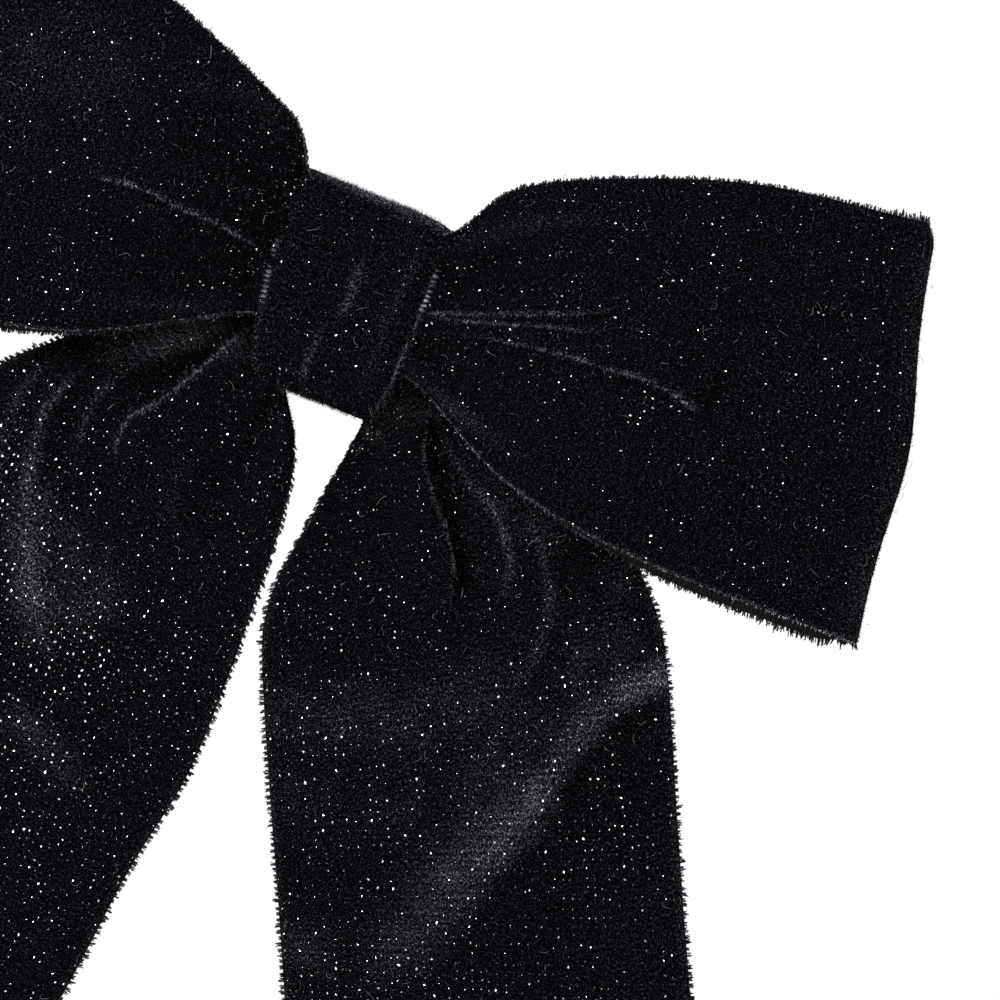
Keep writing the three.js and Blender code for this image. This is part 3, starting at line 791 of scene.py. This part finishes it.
def steel(name, level, roughness, along):
    """Nickel-plated strip: fine drawing marks along one axis, and soft stains."""
    n = Nodes(name)
    place = n.object_place()
    marks = n.noise(n.stretched(place, along), 1.0, 4.0, 0.65)
    stain = n.noise(place, 140.0, 3.0)
    n.principled(
        Base_Color=n.mix_colour(n.ramp(stain, 0.35, 0.75), grey(level, 1.01), grey(level * 0.8, 0.97)),
        Metallic=1.0,
        Roughness=n.ramp(n.math("ADD", marks, n.math("MULTIPLY", stain, 0.6)), 0.4, 1.2,
                         roughness * 0.7, roughness * 1.5),
        Normal=n.bump(marks, 0.00004, 0.5),
    )


velvet()
backing()
pile()
lurex()
loose_fibre()
thread_material()
steel("plated_steel", 0.46, 0.33, (300.0, 4000.0, 4000.0))
steel("spring_steel", 0.36, 0.36, (4000.0, 300.0, 4000.0))


# ---- Loops ----

LOOP_REACH = 90.0
FOLD_RADIUS = 2.6
LOOP_EDGES = {
    1: {
        "top": [(0, 14.4), (4, 14.2), (8, 13.2), (13.2, 16), (20, 25.2), (37, 33), (57, 39), (82.6, 42.4)],
        "bottom": [(0, -14.4), (4, -13.6), (8, -10.4), (15, -8.8), (34, -18.6), (58, -22.9), (93.2, -23.6)],
    },
    -1: {
        "top": [(0, 14.4), (-4, 14.2), (-8, 13.4), (-12.4, 16.8), (-15.4, 21.8), (-20.4, 25.2),
            (-42, 34.6), (-62, 40), (-84, 42.5)],
        "bottom": [(0, -14.4), (-4, -13.6), (-8, -9.8), (-14, -7.4), (-37.5, -19.3), (-60, -23.6),
            (-93, -24.4)],
    },
}
LOOP_FRONT = [(0, -20.0), (2.2, -20.0), (8, -20.6), (13.5, -21.2), (21, -25.0), (38, -29.6), (60, -27.6),
              (78, -22.6), (LOOP_REACH - FOLD_RADIUS, -20.0)]
LOOP_BACK = [(0, -13.7), (14, -14.0), (60, -14.0), (78, -14.3), (LOOP_REACH - FOLD_RADIUS, -14.8)]

# The folds' positive values paint highlights along the crease ridges and the negative ones paint shade in
# the valleys.
RIGHT_LOOP_FOLDS = [
    Fold([(13, -0.5), (24.3, 1.8), (35.5, 3.2), (46.2, 3.8), (51.3, 3.7), (56.8, 2.4), (59, 1.7)], 3.4,
         (7, 0.8), 0.9, (0.22, 0.08), (0.6, 0.06)),
    Fold([(12, 1.5), (15.6, 2.8), (22.5, 5), (30.5, 7.9), (37, 10.6), (42.5, 14)], 2.4, (5.5, 0.8), 0.62,
         (0.22, 0.08), (0.1, 0.35)),
    Fold([(13, 1.6), (21.1, 3.7), (31.1, 6.3), (38.1, 7.7), (43.6, 11)], 1.1, (1.8, 0.6), 0.62,
         (0.22, 0.1), (0.2, 0.4)),
    Fold([(13, -3.5), (30, -1.5), (52, -0.5)], -2.2, (2.5, 5), -0.8, (2, 3.5), (0.05, 0.4)),
    Fold([(13, 7), (24, 14), (40, 22)], -2.2, (3, 5), -0.4, (3, 4), (0.05, 0.6)),
    Fold([(13, 11), (22, 19), (40, 28)], 1.4, 3, 0.1, (1.5, 2), (0.05, 0.6)),
    Fold([(13, -6.5), (24, -11), (40, -15.5)], 1.3, 2.5, 0.15, 1.2, (0.05, 0.6)),
]
LEFT_LOOP_FOLDS = [
    Fold([(-14, 2.4), (-18.5, 3.3), (-23.8, 4.1), (-28.9, 4.3), (-33.5, 5), (-38, 4.9), (-43, 4)], 3.2,
         (0.8, 6.5), 0.72, (0.08, 0.22), (0.2, 0.12)),
    Fold([(-13, -1), (-24, -1), (-42, -1)], -2.6, (5, 2.5), -0.8, (4, 2), (0.05, 0.5)),
    Fold([(-38, 20.6), (-31, 22.8), (-23, 23.6), (-16, 19)], 1.6, (4, 3), 0.08, (2, 1.2), 0.3),
    Fold([(-13, 10), (-24, 13), (-40, 17)], -1.6, 4, -0.3, 3, (0.05, 0.6)),
    Fold([(-13, -5), (-24, -10), (-42, -15)], 1.3, 2.6, 0.12, 1.2, (0.05, 0.6)),
    # a broad painted pool of light over the upper left loop
    Fold([(-78, 8), (-52, 18), (-32, 22)], 0.2, 6, 0.07, (12, 10), (0.2, 0.4)),
]
LOOP_FOLDS = {1: RIGHT_LOOP_FOLDS, -1: LEFT_LOOP_FOLDS}


def loop_ring():
    """Rows of the loops' ring: side, distance from the knot, depth and how far round to the back."""
    centre_depth = (LOOP_FRONT[-1][1] + LOOP_BACK[-1][1]) / 2
    radius = (LOOP_BACK[-1][1] - LOOP_FRONT[-1][1]) / 2
    front = at_share(LOOP_FRONT, np.linspace(0, 1, 98))
    back = at_share(LOOP_BACK, np.linspace(1, 0, 96))
    turn = np.radians(np.linspace(-90, 90, 13)[1:-1])
    end = np.stack([LOOP_REACH - FOLD_RADIUS + FOLD_RADIUS * np.cos(turn),
                    centre_depth + radius * np.sin(turn)], axis=1)
    half = np.concatenate([front, end, back])
    behind = np.concatenate([np.zeros(len(front)), (1 + np.sin(turn)) / 2, np.ones(len(back))])
    right = np.c_[np.ones(len(half)), half, behind]
    left = right[1:-1][::-1].copy()
    left[:, 0] = -1
    return np.concatenate([right, left])


def loop_ribbon():
    ring = loop_ring()
    columns = 109
    v = np.linspace(0, 1, columns)
    points = np.zeros((len(ring), columns, 3))
    nap_and_painted_light = np.zeros((len(ring), columns))
    for side in (1, -1):
        rows = np.nonzero(ring[:, 0] == side)[0]
        distance, depth, behind = ring[rows, 1], ring[rows, 2], ring[rows, 3]
        share = np.minimum(distance / LOOP_REACH, 1)
        top = at_share(LOOP_EDGES[side]["top"], share)
        bottom = at_share(LOOP_EDGES[side]["bottom"], share)
        x, z = across_between(bottom, top, v)
        # the end crease bows a little, and the back layer hangs a little lower than the front
        bulge = 0.8 + 2.4 * bell(v - 0.47, 0.22) if side > 0 else 1.0 - (2 * v - 1) ** 2
        x += side * smooth(distance, 66, 90)[:, None] * bulge
        x -= side * smooth(distance, 82, 90)[:, None] * 1.2 * bell((1 - v) * RIBBON_WIDTH, 1.6)
        drop = smooth(distance, 35, 70) * (1 - smooth(distance, 84, 90)) * behind
        z -= 1.5 * drop[:, None]
        forward, fold_nap_and_painted_light = fold_all(LOOP_FOLDS[side], x, z)
        in_front = (1 - smooth(behind, 0.0, 0.4))[:, None]
        settled = smooth(distance, 11, 17)[:, None]
        round_over = smooth(distance, 10, 24)[:, None] * (1 - smooth(distance, 30, 88))[:, None]
        crown = 3.6 * round_over * np.abs(2 * v - 1) ** 2.2
        in_knot = 1 - smooth(distance, 4, 11)[:, None]
        gather_depth = 0.55 * bell(distance - 12, 9)[:, None] + 1.1 * in_knot
        gathers = np.cos(2 * math.pi * 4.2 * v + 0.7 + 0.35 * x * in_knot) * gather_depth
        y = depth[:, None] - in_front * settled * forward + in_front * crown + gathers
        points[rows] = np.stack([x, y, z], axis=-1)
        nap_and_painted_light[rows] = fold_nap_and_painted_light * in_front
    wave = soft_noise(points.shape[:2], (30, 4), 3)
    calm = smooth(ring[:, 1], 16, 40) * (1 - smooth(ring[:, 1], 78, 88))
    points[..., 1] += 0.55 * wave * calm[:, None]
    nap_and_painted_light = mottled(nap_and_painted_light, (170, 26), 6)
    # painted sheen along the loops' end crease
    crease = bell(ring[:, 1] - LOOP_REACH, 2.2)[:, None]
    nap_and_painted_light = np.maximum(nap_and_painted_light, 0.28 * crease * (0.6 + 0.4 * soft_noise(points.shape[:2], (60, 12), 5)))
    # painted highlight along the front layer's lower edge
    lower_edge_painted_highlight = 0.85 * bell(v * RIBBON_WIDTH, 0.35) + 0.06 * bell((1 - v) * RIBBON_WIDTH, 0.8)
    nap_and_painted_light = np.maximum(nap_and_painted_light, lower_edge_painted_highlight[None, :] * (1 - ring[:, 3:4]) * (0.6 + 0.4 * wave))
    return Ribbon(points, True, nap_and_painted_light)


# ---- Tails ----

TAIL_EDGES = {
    1: {
        "inner": [(0, -14.2), (2.2, -14.2), (5.4, -14.4), (9, -15.8), (9.2, -18.4), (8.3, -24), (7.4, -29),
            (6.7, -34), (5.8, -39), (4.9, -45), (5, -51), (6.8, -58), (15.4, -78), (28.4, -107),
            (42, -141), (53, -172)],
        "outer": [(0, 14.2), (4, 14), (13, 12), (30, 6), (46, -9), (57.6, -23.5), (64.3, -31.5),
            (68.4, -39.2), (74.9, -53.6), (82.5, -71), (95.3, -100), (109, -138), (123, -184)],
    },
    -1: {
        "inner": [(0, -14.2), (-2.2, -14.2), (-4.8, -14.4), (-6.4, -15.8), (-5, -18.2), (-1, -22.6),
            (1.3, -29), (2.4, -38), (2.7, -50), (2.8, -64), (2, -80), (-1.5, -97), (-4.8, -120),
            (-11, -150), (-15, -174)],
        "outer": [(0, 14.2), (-4, 14), (-13, 12), (-26, 2), (-37.5, -18), (-48, -28.4), (-57, -44),
            (-60.5, -62), (-63, -90), (-69, -125), (-75, -160), (-83, -200)],
    },
}
TAIL_DEPTH = -11.4

# On the tails, positive values paint highlights and sheen and negative ones paint shade.
RIGHT_TAIL_FOLDS = [
    Fold([(16.5, -7), (17.8, -11), (19.4, -18.4), (22.9, -24.3), (26.9, -29.1), (30.3, -34.5),
         (31.6, -39.2), (36.3, -43.6)], 2.8, (0.8, 6.5), 0.34, (0.12, 0.25), (0.05, 0.3)),
    Fold([(16.5, -8), (22.4, -15.1), (27.6, -20), (33, -23), (37.9, -28), (39.6, -34), (38.4, -41)], 2.2,
         (3, 1.4), 0.46, (0.4, 0.7), (0.05, 0.35)),
    Fold([(17.5, -8), (21.2, -15.2), (25.4, -19.5), (30.4, -24)], 0.3, 1, 0.26, 0.3, (0.1, 0.3)),
    # painted shade in the valley
    Fold([(19, -13.5), (22.2, -18.5), (27.4, -25.5), (31.6, -32), (34.4, -38.5)], -3.8, (2.4, 2), -1.6,
         (2, 1.2), (0.05, 0.15)),
    # painted light where the loop and the knot shade the tail
    Fold([(9.5, -20), (12.5, -15), (16, -11.5), (21, -11)], 0.3, 2, 0.34, 2.6, (0.15, 0.2)),
    Fold([(36, -17), (39.6, -23.3), (44.2, -29.8), (46.7, -35), (47, -41), (45.8, -48), (41, -56)], 2,
         (2.2, 5), 0.3, (1.1, 0.6), (0.2, 0.35)),
    # painted shade
    Fold([(48, -20), (50, -26), (50.5, -32)], -2.2, 4, -0.6, 3, (0.2, 0.3)),
    # painted light over the shade under the loop's lower edge
    Fold([(20, -10), (32, -17.5), (46, -23), (60, -27)], 0.2, 3, 0.2, (3, 4), 0.1),
    Fold([(66, -71), (74, -70), (84, -65)], 0.4, 3, 0.16, 1.6, 0.3),
    # the painted sheen band across the right tail, then a softer second band
    Fold([(72, -34), (67.3, -39), (63.6, -42.9), (60.2, -47.6), (57.6, -54.3), (55.8, -60.8), (54, -68),
         (50, -75.7), (48.6, -80.9), (48, -87), (45, -94)], 4, (5, 14), 0.86, (1.6, 2.4), (0.02, 0.58)),
    Fold([(57, -56), (54, -68), (49.5, -76), (47, -86), (43, -95), (36, -104)], 0.4, (4, 8), 0.44,
         (3.8, 6), (0.25, 0.5)),
    # painted light where the knot shades the tail
    Fold([(10, -10.8), (13, -9.8), (17, -10.8)], 0.2, 1.5, 0.6, 1.6, (0.1, 0.2)),
    Fold([(66, -40), (58, -50), (50, -62), (44, -74)], 0.4, (4, 8), 0.11, (3, 9), (0.1, 0.3)),
    # painted shade beside the sheen band
    Fold([(80, -50), (74, -64), (70, -80), (66, -98)], -3.4, 9, -0.9, (10, 8.5), (0.1, 0.3)),
    Fold([(2, -64), (12, -64.5), (21.6, -62), (35.8, -55.4), (48, -44)], 1.2, 5, 0.15, (5, 6),
         (0.02, 0.15)),
    Fold([(10, -76), (30, -74), (44, -68)], 0.4, 6, 0.07, 6, 0.2),
    Fold([(18, -98), (28, -99), (38, -97)], 1, 5, 0.15, 4, (0.2, 0.3)),
    Fold([(52, -43), (57, -38), (62, -33)], 0.4, 4, 0.12, 4, 0.2),
    Fold([(10, -20), (9, -32), (10, -46)], 1.5, (5, 4), -0.2, 4, (0.2, 0.5)),
    Fold([(52, -118), (74, -132), (98, -136)], 3, (10, 8), 0.2, 4, 0.3),
    Fold([(44, -140), (70, -160), (104, -162)], -2.2, 9, -0.3, 6, 0.2),
]
LEFT_TAIL_FOLDS = [
    Fold([(-11.5, -7), (-12.9, -10.1), (-15.7, -14.9), (-18, -19.1), (-20.5, -23.2), (-23.1, -26.7),
         (-25.5, -29.4), (-26.3, -33.5), (-24.5, -39)], 2.6, (6, 0.8), 0.75, (0.25, 0.08), (0.15, 0.2)),
    # painted shade in the valley
    Fold([(-13.5, -8), (-20.5, -17), (-27, -26), (-30, -34)], -1.2, (3, 3.4), -0.25, (2.2, 2),
         (0.05, 0.4)),
    Fold([(-28, -36), (-26.5, -41), (-24, -46)], -0.6, 3, -0.6, 3.4, 0.3),
    Fold([(-28, -16), (-33.5, -22.5), (-36.4, -26.5), (-38.2, -32), (-38.3, -38), (-36.7, -45),
         (-33, -54.5), (-28, -64), (-21.2, -72.4)], 3.2, (3.2, 3.4), 0, 1, (0.25, 0.2)),
    Fold([(-35, -24), (-36.9, -28), (-38.5, -33.3), (-37.9, -39.2), (-36.4, -45.5), (-34.5, -51)], 0.2, 1,
         0.55, (0.35, 0.6), (0.2, 0.4)),
    Fold([(-38.6, -34), (-37.9, -40), (-36.2, -46.5), (-33, -54.5), (-28, -64), (-21.2, -72.4)], 0.2, 1,
         0.55, (0.8, 1.4), 0.3),
    Fold([(-37.5, -41), (-34.5, -51), (-30, -61), (-25, -69)], 0.3, 2, 0.38, 3.4, (0.3, 0.25)),
    # painted light where the left loop and the knot shade the tail
    Fold([(-12, -11), (-19, -13), (-28, -17.5), (-36, -21.5)], 1.2, 3, 0.46, (3, 3.6), (0.05, 0.2)),
    Fold([(-9, -8.5), (-13, -9.8), (-17, -11.2), (-22, -12.5)], 0.2, 2, 0.7, (2, 2.2), (0.05, 0.4)),
    Fold([(-28, -20), (-31.5, -27), (-32.4, -34), (-31.4, -41)], 0.8, (1.6, 1.4), 0.2, 0.6, (0.3, 0.4)),
    Fold([(-38, -22), (-42.4, -29), (-43.4, -38), (-41.5, -50), (-38, -60)], 0.8, 1.6, 0.26, (0.7, 0.9),
         (0.3, 0.4)),
    Fold([(-48, -32), (-50, -44), (-46, -60), (-40, -74)], 1.8, (4, 3), 0.16, (3.4, 3), (0.1, 0.35)),
    Fold([(-11, -28), (-12.7, -32.3), (-15.2, -35.4), (-14.8, -40), (-12.4, -46)], 1.2, (2.2, 3.6), 0.09,
         1.4, (0.3, 0.4)),
    # painted shade
    Fold([(-4, -17), (-4.6, -24), (-8.5, -34), (-10.5, -42)], -1.6, (5, 4), -0.7, (4, 3.4), (0.1, 0.3)),
    Fold([(-34, -48), (-28, -56), (-18, -66)], 1.4, (8, 7), 0.17, 7, (0.2, 0.3)),
    Fold([(-30, -79), (-24, -81.5), (-16, -85), (-10, -87.5)], 1, (6, 5), 0.22, (2.8, 2.6), (0.2, 0.3)),
    Fold([(-14, -72), (-9, -78), (-4, -84)], -0.8, 5, -0.5, 4, 0.2),
    Fold([(-60, -78), (-40, -96), (-8, -112)], -2.2, 9, -0.2, 6, 0.2),
    Fold([(-66, -112), (-44, -134), (-12, -142)], 2.6, (9, 7), 0.18, 4, 0.2),
    Fold([(-72, -150), (-48, -164), (-16, -160)], -2, 9, -0.3, 6, 0.2),
]
TAIL_FOLDS = {1: RIGHT_TAIL_FOLDS, -1: LEFT_TAIL_FOLDS}


def covered_by_loops(x, z):
    """1 where the loops' back layer lies in front of the tails, and 0 below it."""
    side = np.where(x < 0, -1, 1)
    low = np.zeros(x.shape)
    for one in (1, -1):
        path = dense(LOOP_EDGES[one]["bottom"])
        order = np.argsort(path[:, 0])
        low = np.where(side == one, np.interp(x, path[order, 0], path[order, 1]), low)
    return smooth(z - low, -4.5, -1.0)


def tail_ribbon():
    rows_each, columns = 205, 107
    v = np.linspace(0, 1, columns)
    halves = []
    for side in (-1, 1):
        share = np.linspace(0, 1, rows_each) ** 1.05
        inner = at_share(TAIL_EDGES[side]["inner"], share)
        outer = at_share(TAIL_EDGES[side]["outer"], share)
        x, z = across_between(inner, outer, v)
        forward, nap_and_painted_light = fold_all(TAIL_FOLDS[side], x, z)
        loose = smooth(share, 0.03, 0.10)[:, None]
        bunched = 0.5 * bell(share, 0.13) + 0.8 * (1 - smooth(share, 0.01, 0.05))
        in_knot = 1 - smooth(np.abs(x), 4, 11)
        gather_depth = bunched[:, None] + 0.5 * in_knot
        gathers = np.cos(2 * math.pi * 4.6 * v + 1.1 + 0.35 * x * in_knot) * gather_depth
        wave = soft_noise(x.shape, (9, 2), 11 + side)
        y = TAIL_DEPTH - loose * forward + gathers + 0.6 * (1 - loose)
        y += 1.3 * wave * smooth(share, 0.2, 0.5)[:, None]
        free = 1 - covered_by_loops(x, z)
        room = TAIL_DEPTH - 0.9
        y = np.where(y < room, room + (y - room) * free, y)
        halves.append((np.stack([x, y, z], axis=-1), nap_and_painted_light * (0.5 + 0.5 * free)))
    points = np.concatenate([halves[0][0][::-1], halves[1][0][1:]])
    nap_and_painted_light = mottled(np.concatenate([halves[0][1][::-1], halves[1][1][1:]]), (185, 28), 7)
    edge = np.minimum(v, 1 - v) * RIBBON_WIDTH
    nap_and_painted_light = np.maximum(nap_and_painted_light, 0.16 * bell(edge, 0.9)[None, :])
    return Ribbon(points, False, nap_and_painted_light)


# ---- Knot ----

# The knot's folds paint highlights along its pleats and turned-under edges, in rungs where laid, and
# painted shade along the pleat near x = -2.
KNOT_FOLDS = [
    Fold([(0.6, 7.5), (0.6, 3.9), (0.6, -1), (-0.4, -5)], 0.9, (2.6, 0.8), 0.36, (0.8, 0.5),
         (0.35, 0.45)),
    Fold([(-1, -3), (-1.8, -8), (-2.1, -12), (-1.7, -15)], 1.1, (3, 0.8), 0.34, (0.5, 0.4), (0.55, 0.15)),
    Fold([(12, 9.5), (12, 5.5), (11.8, 1.2)], 0.3, 1, 0.95, (0.1, 0.4), (0.2, 0.1), True),
    Fold([(11.7, 2.2), (11.4, -4), (11.2, -9.5), (10.4, -14.5)], 0.3, 1, 1, (0.14, 0.16), 0.05),
    Fold([(-13, 5.5), (-12.6, 0), (-11.5, -6.6)], 0.3, 1, 0.9, (0.3, 0.1), (0.15, 0.3), True),
    Fold([(-1.8, 6.5), (-2, 0), (-3.4, -6), (-4.6, -13)], -0.6, 1.4, -0.9, 1.1, (0.2, 0.1)),
    Fold([(8, -14), (7.6, 0), (9.5, 14)], 0.7, (2, 3), 0.1, 0.8, 0.2),
]
KNOT_WIDTH = 45.0        # the knot is cut narrower than the bow
KNOT_BACK_HALF = 5.0     # half of what it narrows to behind
KNOT_TUCK = 1.1          # how far behind the knot's face its turned-under edges lie


def knot_band():
    """The knot: the ribbon wound once round, with both its selvedges turned under."""
    low, high = node_box("knot_band")
    rows, columns = 170, 101
    corner, inset = 5.5, 0.5
    y0, y1, z0, z1 = low[1] + inset, high[1] - inset, low[2] + inset, high[2] - inset
    corners = [(y0 + corner, z0 + corner, 180), (y1 - corner, z0 + corner, 270),
               (y1 - corner, z1 - corner, 0), (y0 + corner, z1 - corner, 90)]
    path, facing = [], []
    for cy, cz, start in corners:
        for degrees in np.linspace(start, start + 90, 10):
            a = math.radians(degrees)
            path.append((cy + corner * math.cos(a), cz + corner * math.sin(a)))
            facing.append((math.cos(a), math.sin(a)))
    path, facing = np.array(path + path[:1]), np.array(facing + facing[:1])
    place = lengths_along(path)
    where = np.linspace(0, place[-1], rows, endpoint=False)
    y, z, out_y, out_z = (np.interp(where, place, f)[:, None] for f in (*path.T, *facing.T))
    up = (z - z0) / (z1 - z0)
    back = smooth(y, y0 + 2.5, y0 + 10)
    flat = np.linspace(-KNOT_WIDTH / 2, KNOT_WIDTH / 2, columns)[None, :]
    full = 1.4 * np.sin(up * math.pi)
    right = 9.5 + 2.6 * up + full + 0.8 * bell(up - 0.15, 0.12)
    left = 9.6 + 3.6 * up + full
    half = np.where(flat > 0, right, left) * (1 - back) + KNOT_BACK_HALF * back
    turn = math.pi * KNOT_TUCK / 2
    beyond = np.abs(flat) - half
    room = (half - 0.7) / (KNOT_WIDTH / 2 - half - turn)
    angle = np.clip(beyond / turn, 0, 1) * math.pi
    tucked = np.clip(beyond - turn, 0, None) * np.minimum(room, 1)
    x = np.sign(flat) * (np.minimum(np.abs(flat), half) + KNOT_TUCK / 2 * np.sin(angle) - tucked)
    behind = KNOT_TUCK / 2 * (1 - np.cos(angle))
    tilt = -0.07 * x * (1 - back)
    points = np.stack([x, y - out_y * behind, z - out_z * behind + tilt], axis=-1)
    front = 1 - smooth(y, y0 + 0.5, y0 + 5)
    forward, nap_and_painted_light = fold_all(KNOT_FOLDS, points[..., 0], points[..., 2])
    points[..., 1] += back * 0.3 * np.cos(x * 2 * math.pi / 3.2) * (1 - smooth(np.abs(x), 4, 5))
    points[..., 1] -= front * (forward - 0.7)
    points[..., 1] += front * 1.5 * bell(half - np.abs(x), 1.8)
    points[..., 1] += 0.22 * soft_noise(points.shape[:2], (16, 8), 8) * front
    patchy = 0.5 + 0.5 * soft_noise(nap_and_painted_light.shape, (26, 3), 9)
    # painted highlight along the turned-under edges, in patches
    rim = 0.30 * bell(beyond, 0.4) * patchy
    nap_and_painted_light = np.maximum(nap_and_painted_light * front, rim * front * (z < 9))
    # painted highlight along the top, where the band rolls over
    nap_and_painted_light = np.maximum(nap_and_painted_light, 0.6 * smooth(z, z1 - 1.6, z1) * (1 - back) * (beyond < 0) * (0.7 + 0.6 * patchy))
    return Ribbon(points, True, nap_and_painted_light, KNOT_WIDTH)


# ---- Making the pieces ----

STRAYS = 0.014           # loose fibres to a square millimetre


def bow_pieces(node, ribbon, pile_density, glitter, fringe, creases, zones=()):
    """A ribbon's cloth, and the pile, fringe, metallic yarn and loose fibres that it carries."""
    rows = len(ribbon.points)
    cloth = ribbon.cloth(node + "_cloth")
    trims = [
        pile_of(ribbon, node + "_pile_first", pile_density, slice(0, rows // 2)),
        pile_of(ribbon, node + "_pile_second", pile_density, slice(rows // 2, rows)),
        glitter_of(ribbon, node + "_glitter", glitter, zones),
        strays_of(ribbon, node + "_loose_fibres", STRAYS),
    ]
    for number, (folds, crease_rows) in enumerate(creases, 1):
        trims.append(crest_of(ribbon, f"{node}_crease_pile_{number}", folds, crease_rows))
    if fringe:
        trims.append(fringe_of(ribbon, node + "_fringe", **fringe))
    if not ribbon.closed:
        trims.append(frayed_ends(ribbon, node + "_frayed_ends", pitch=0.28, reach=1.1))
    for piece in [cloth, *trims]:
        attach(piece, "bow")
    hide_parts(node)


loops, tails, knot = loop_ribbon(), tail_ribbon(), knot_band()
loop_x, loop_y, _ = loops.points[:, 0].T
loop_front = (np.abs(loop_x) < 87) & (loop_y < -18)
bow_pieces("loop_ribbon", loops, 4.2, 0.19,
           dict(reach=0.8, tuft_pitch=0.5, tuft_spread=0.25, per_tuft=5, near_ends=2.2, front_low=0.45),
           [(RIGHT_LOOP_FOLDS, np.nonzero(loop_front & (loop_x > 0))[0]),
            (LEFT_LOOP_FOLDS, np.nonzero(loop_front & (loop_x <= 0))[0])],
           [(60, 5, 20, 0.15), (-60, 22, 22, 0.15)])
bow_pieces("tail_ribbon", tails, 3.4, 0.34,
           dict(reach=0.95, tuft_pitch=0.98, tuft_spread=0.28, per_tuft=10),
           [(RIGHT_TAIL_FOLDS + LEFT_TAIL_FOLDS, np.arange(len(tails.points)))],
           [(-44, -46, 15, 0.9), (-38, -62, 16, 0.8), (-24, -68, 15, 0.7), (-20, -90, 16, 0.45),
            (-30, -98, 22, 0.4), (66, -66, 12, 0.5), (24, -72, 14, 0.3), (50, -100, 18, 0.4)])
knot_front = knot.points[:, knot.points.shape[1] // 2, 1] < -20
bow_pieces("knot_band", knot, 6.0, 0.24, None, [(KNOT_FOLDS, np.nonzero(knot_front)[0])])


def finish_cad(nodes, name):
    for node in nodes:
        for slot in bpy.data.objects[node].material_slots:
            slot.material = MATERIALS[name]


finish_cad(["base_bar", "clasp_arm", "hinge_pin", "latch_rivet"], "plated_steel")
finish_cad(["tension_bar", "latch_plate", "latch_prong_upper", "latch_prong_lower"], "spring_steel")
finish_cad(["gather_thread", "knot_seam_thread", "clip_thread_left", "clip_thread_right"], "sewing_thread")


# ---- Floor, light and world ----

def add_floor():
    low, _ = node_box("tail_ribbon")
    radius, count, below = 560.0, 96, 12.0
    turn = np.linspace(0, 2 * math.pi, count, endpoint=False)
    rim = np.stack([radius * np.cos(turn), radius * np.sin(turn), np.full(count, low[2] - below)], axis=1)
    Nodes("pale_floor").principled(Base_Color=grey(0.8), Roughness=0.7)
    floor = mesh_object("floor", rim, np.arange(count)[None], "pale_floor")


LIT_POINT = Vector((0.02, 0, -0.05))
LIGHTS = [
    ("key", (-0.72, -1.20, 0.28), (0.5, 0.5), 31),
    ("fill", (0.90, -1.12, -0.38), (0.5, 0.7), 14),
    ("top", (0.1, 0.1, 1.3), (0.7, 0.5), 9),
    ("rear", (0.3, 1.3, 0.6), (0.7, 0.7), 16),
]


def add_light(name, place, size, watts):
    data = bpy.data.lights.new(name, "AREA")
    data.shape = "RECTANGLE"
    data.size, data.size_y = size
    data.energy = watts
    lamp = bpy.data.objects.new(name, data)
    lamp.location = place
    lamp.rotation_euler = (LIT_POINT - Vector(place)).to_track_quat("-Z", "Y").to_euler()
    lamp.visible_camera = False
    bpy.context.scene.collection.objects.link(lamp)


WORLD_LIGHT = 0.13       # the world looks white, but lights the bow no more than this


def add_world():
    world = bpy.data.worlds.new("studio")
    world.use_nodes = True
    tree = world.node_tree
    seen = tree.nodes.new("ShaderNodeLightPath")
    strength = tree.nodes.new("ShaderNodeMapRange")
    strength.inputs["To Min"].default_value = WORLD_LIGHT
    strength.inputs["To Max"].default_value = 1.0
    tree.links.new(seen.outputs["Is Camera Ray"], strength.inputs["Value"])
    background = tree.nodes["Background"]
    background.inputs["Color"].default_value = (1, 1, 1, 1)
    tree.links.new(strength.outputs["Result"], background.inputs["Strength"])
    bpy.context.scene.world = world


add_floor()
add_world()
for light in LIGHTS:
    add_light(*light)
bpy.context.scene.view_settings.view_transform = "Standard"
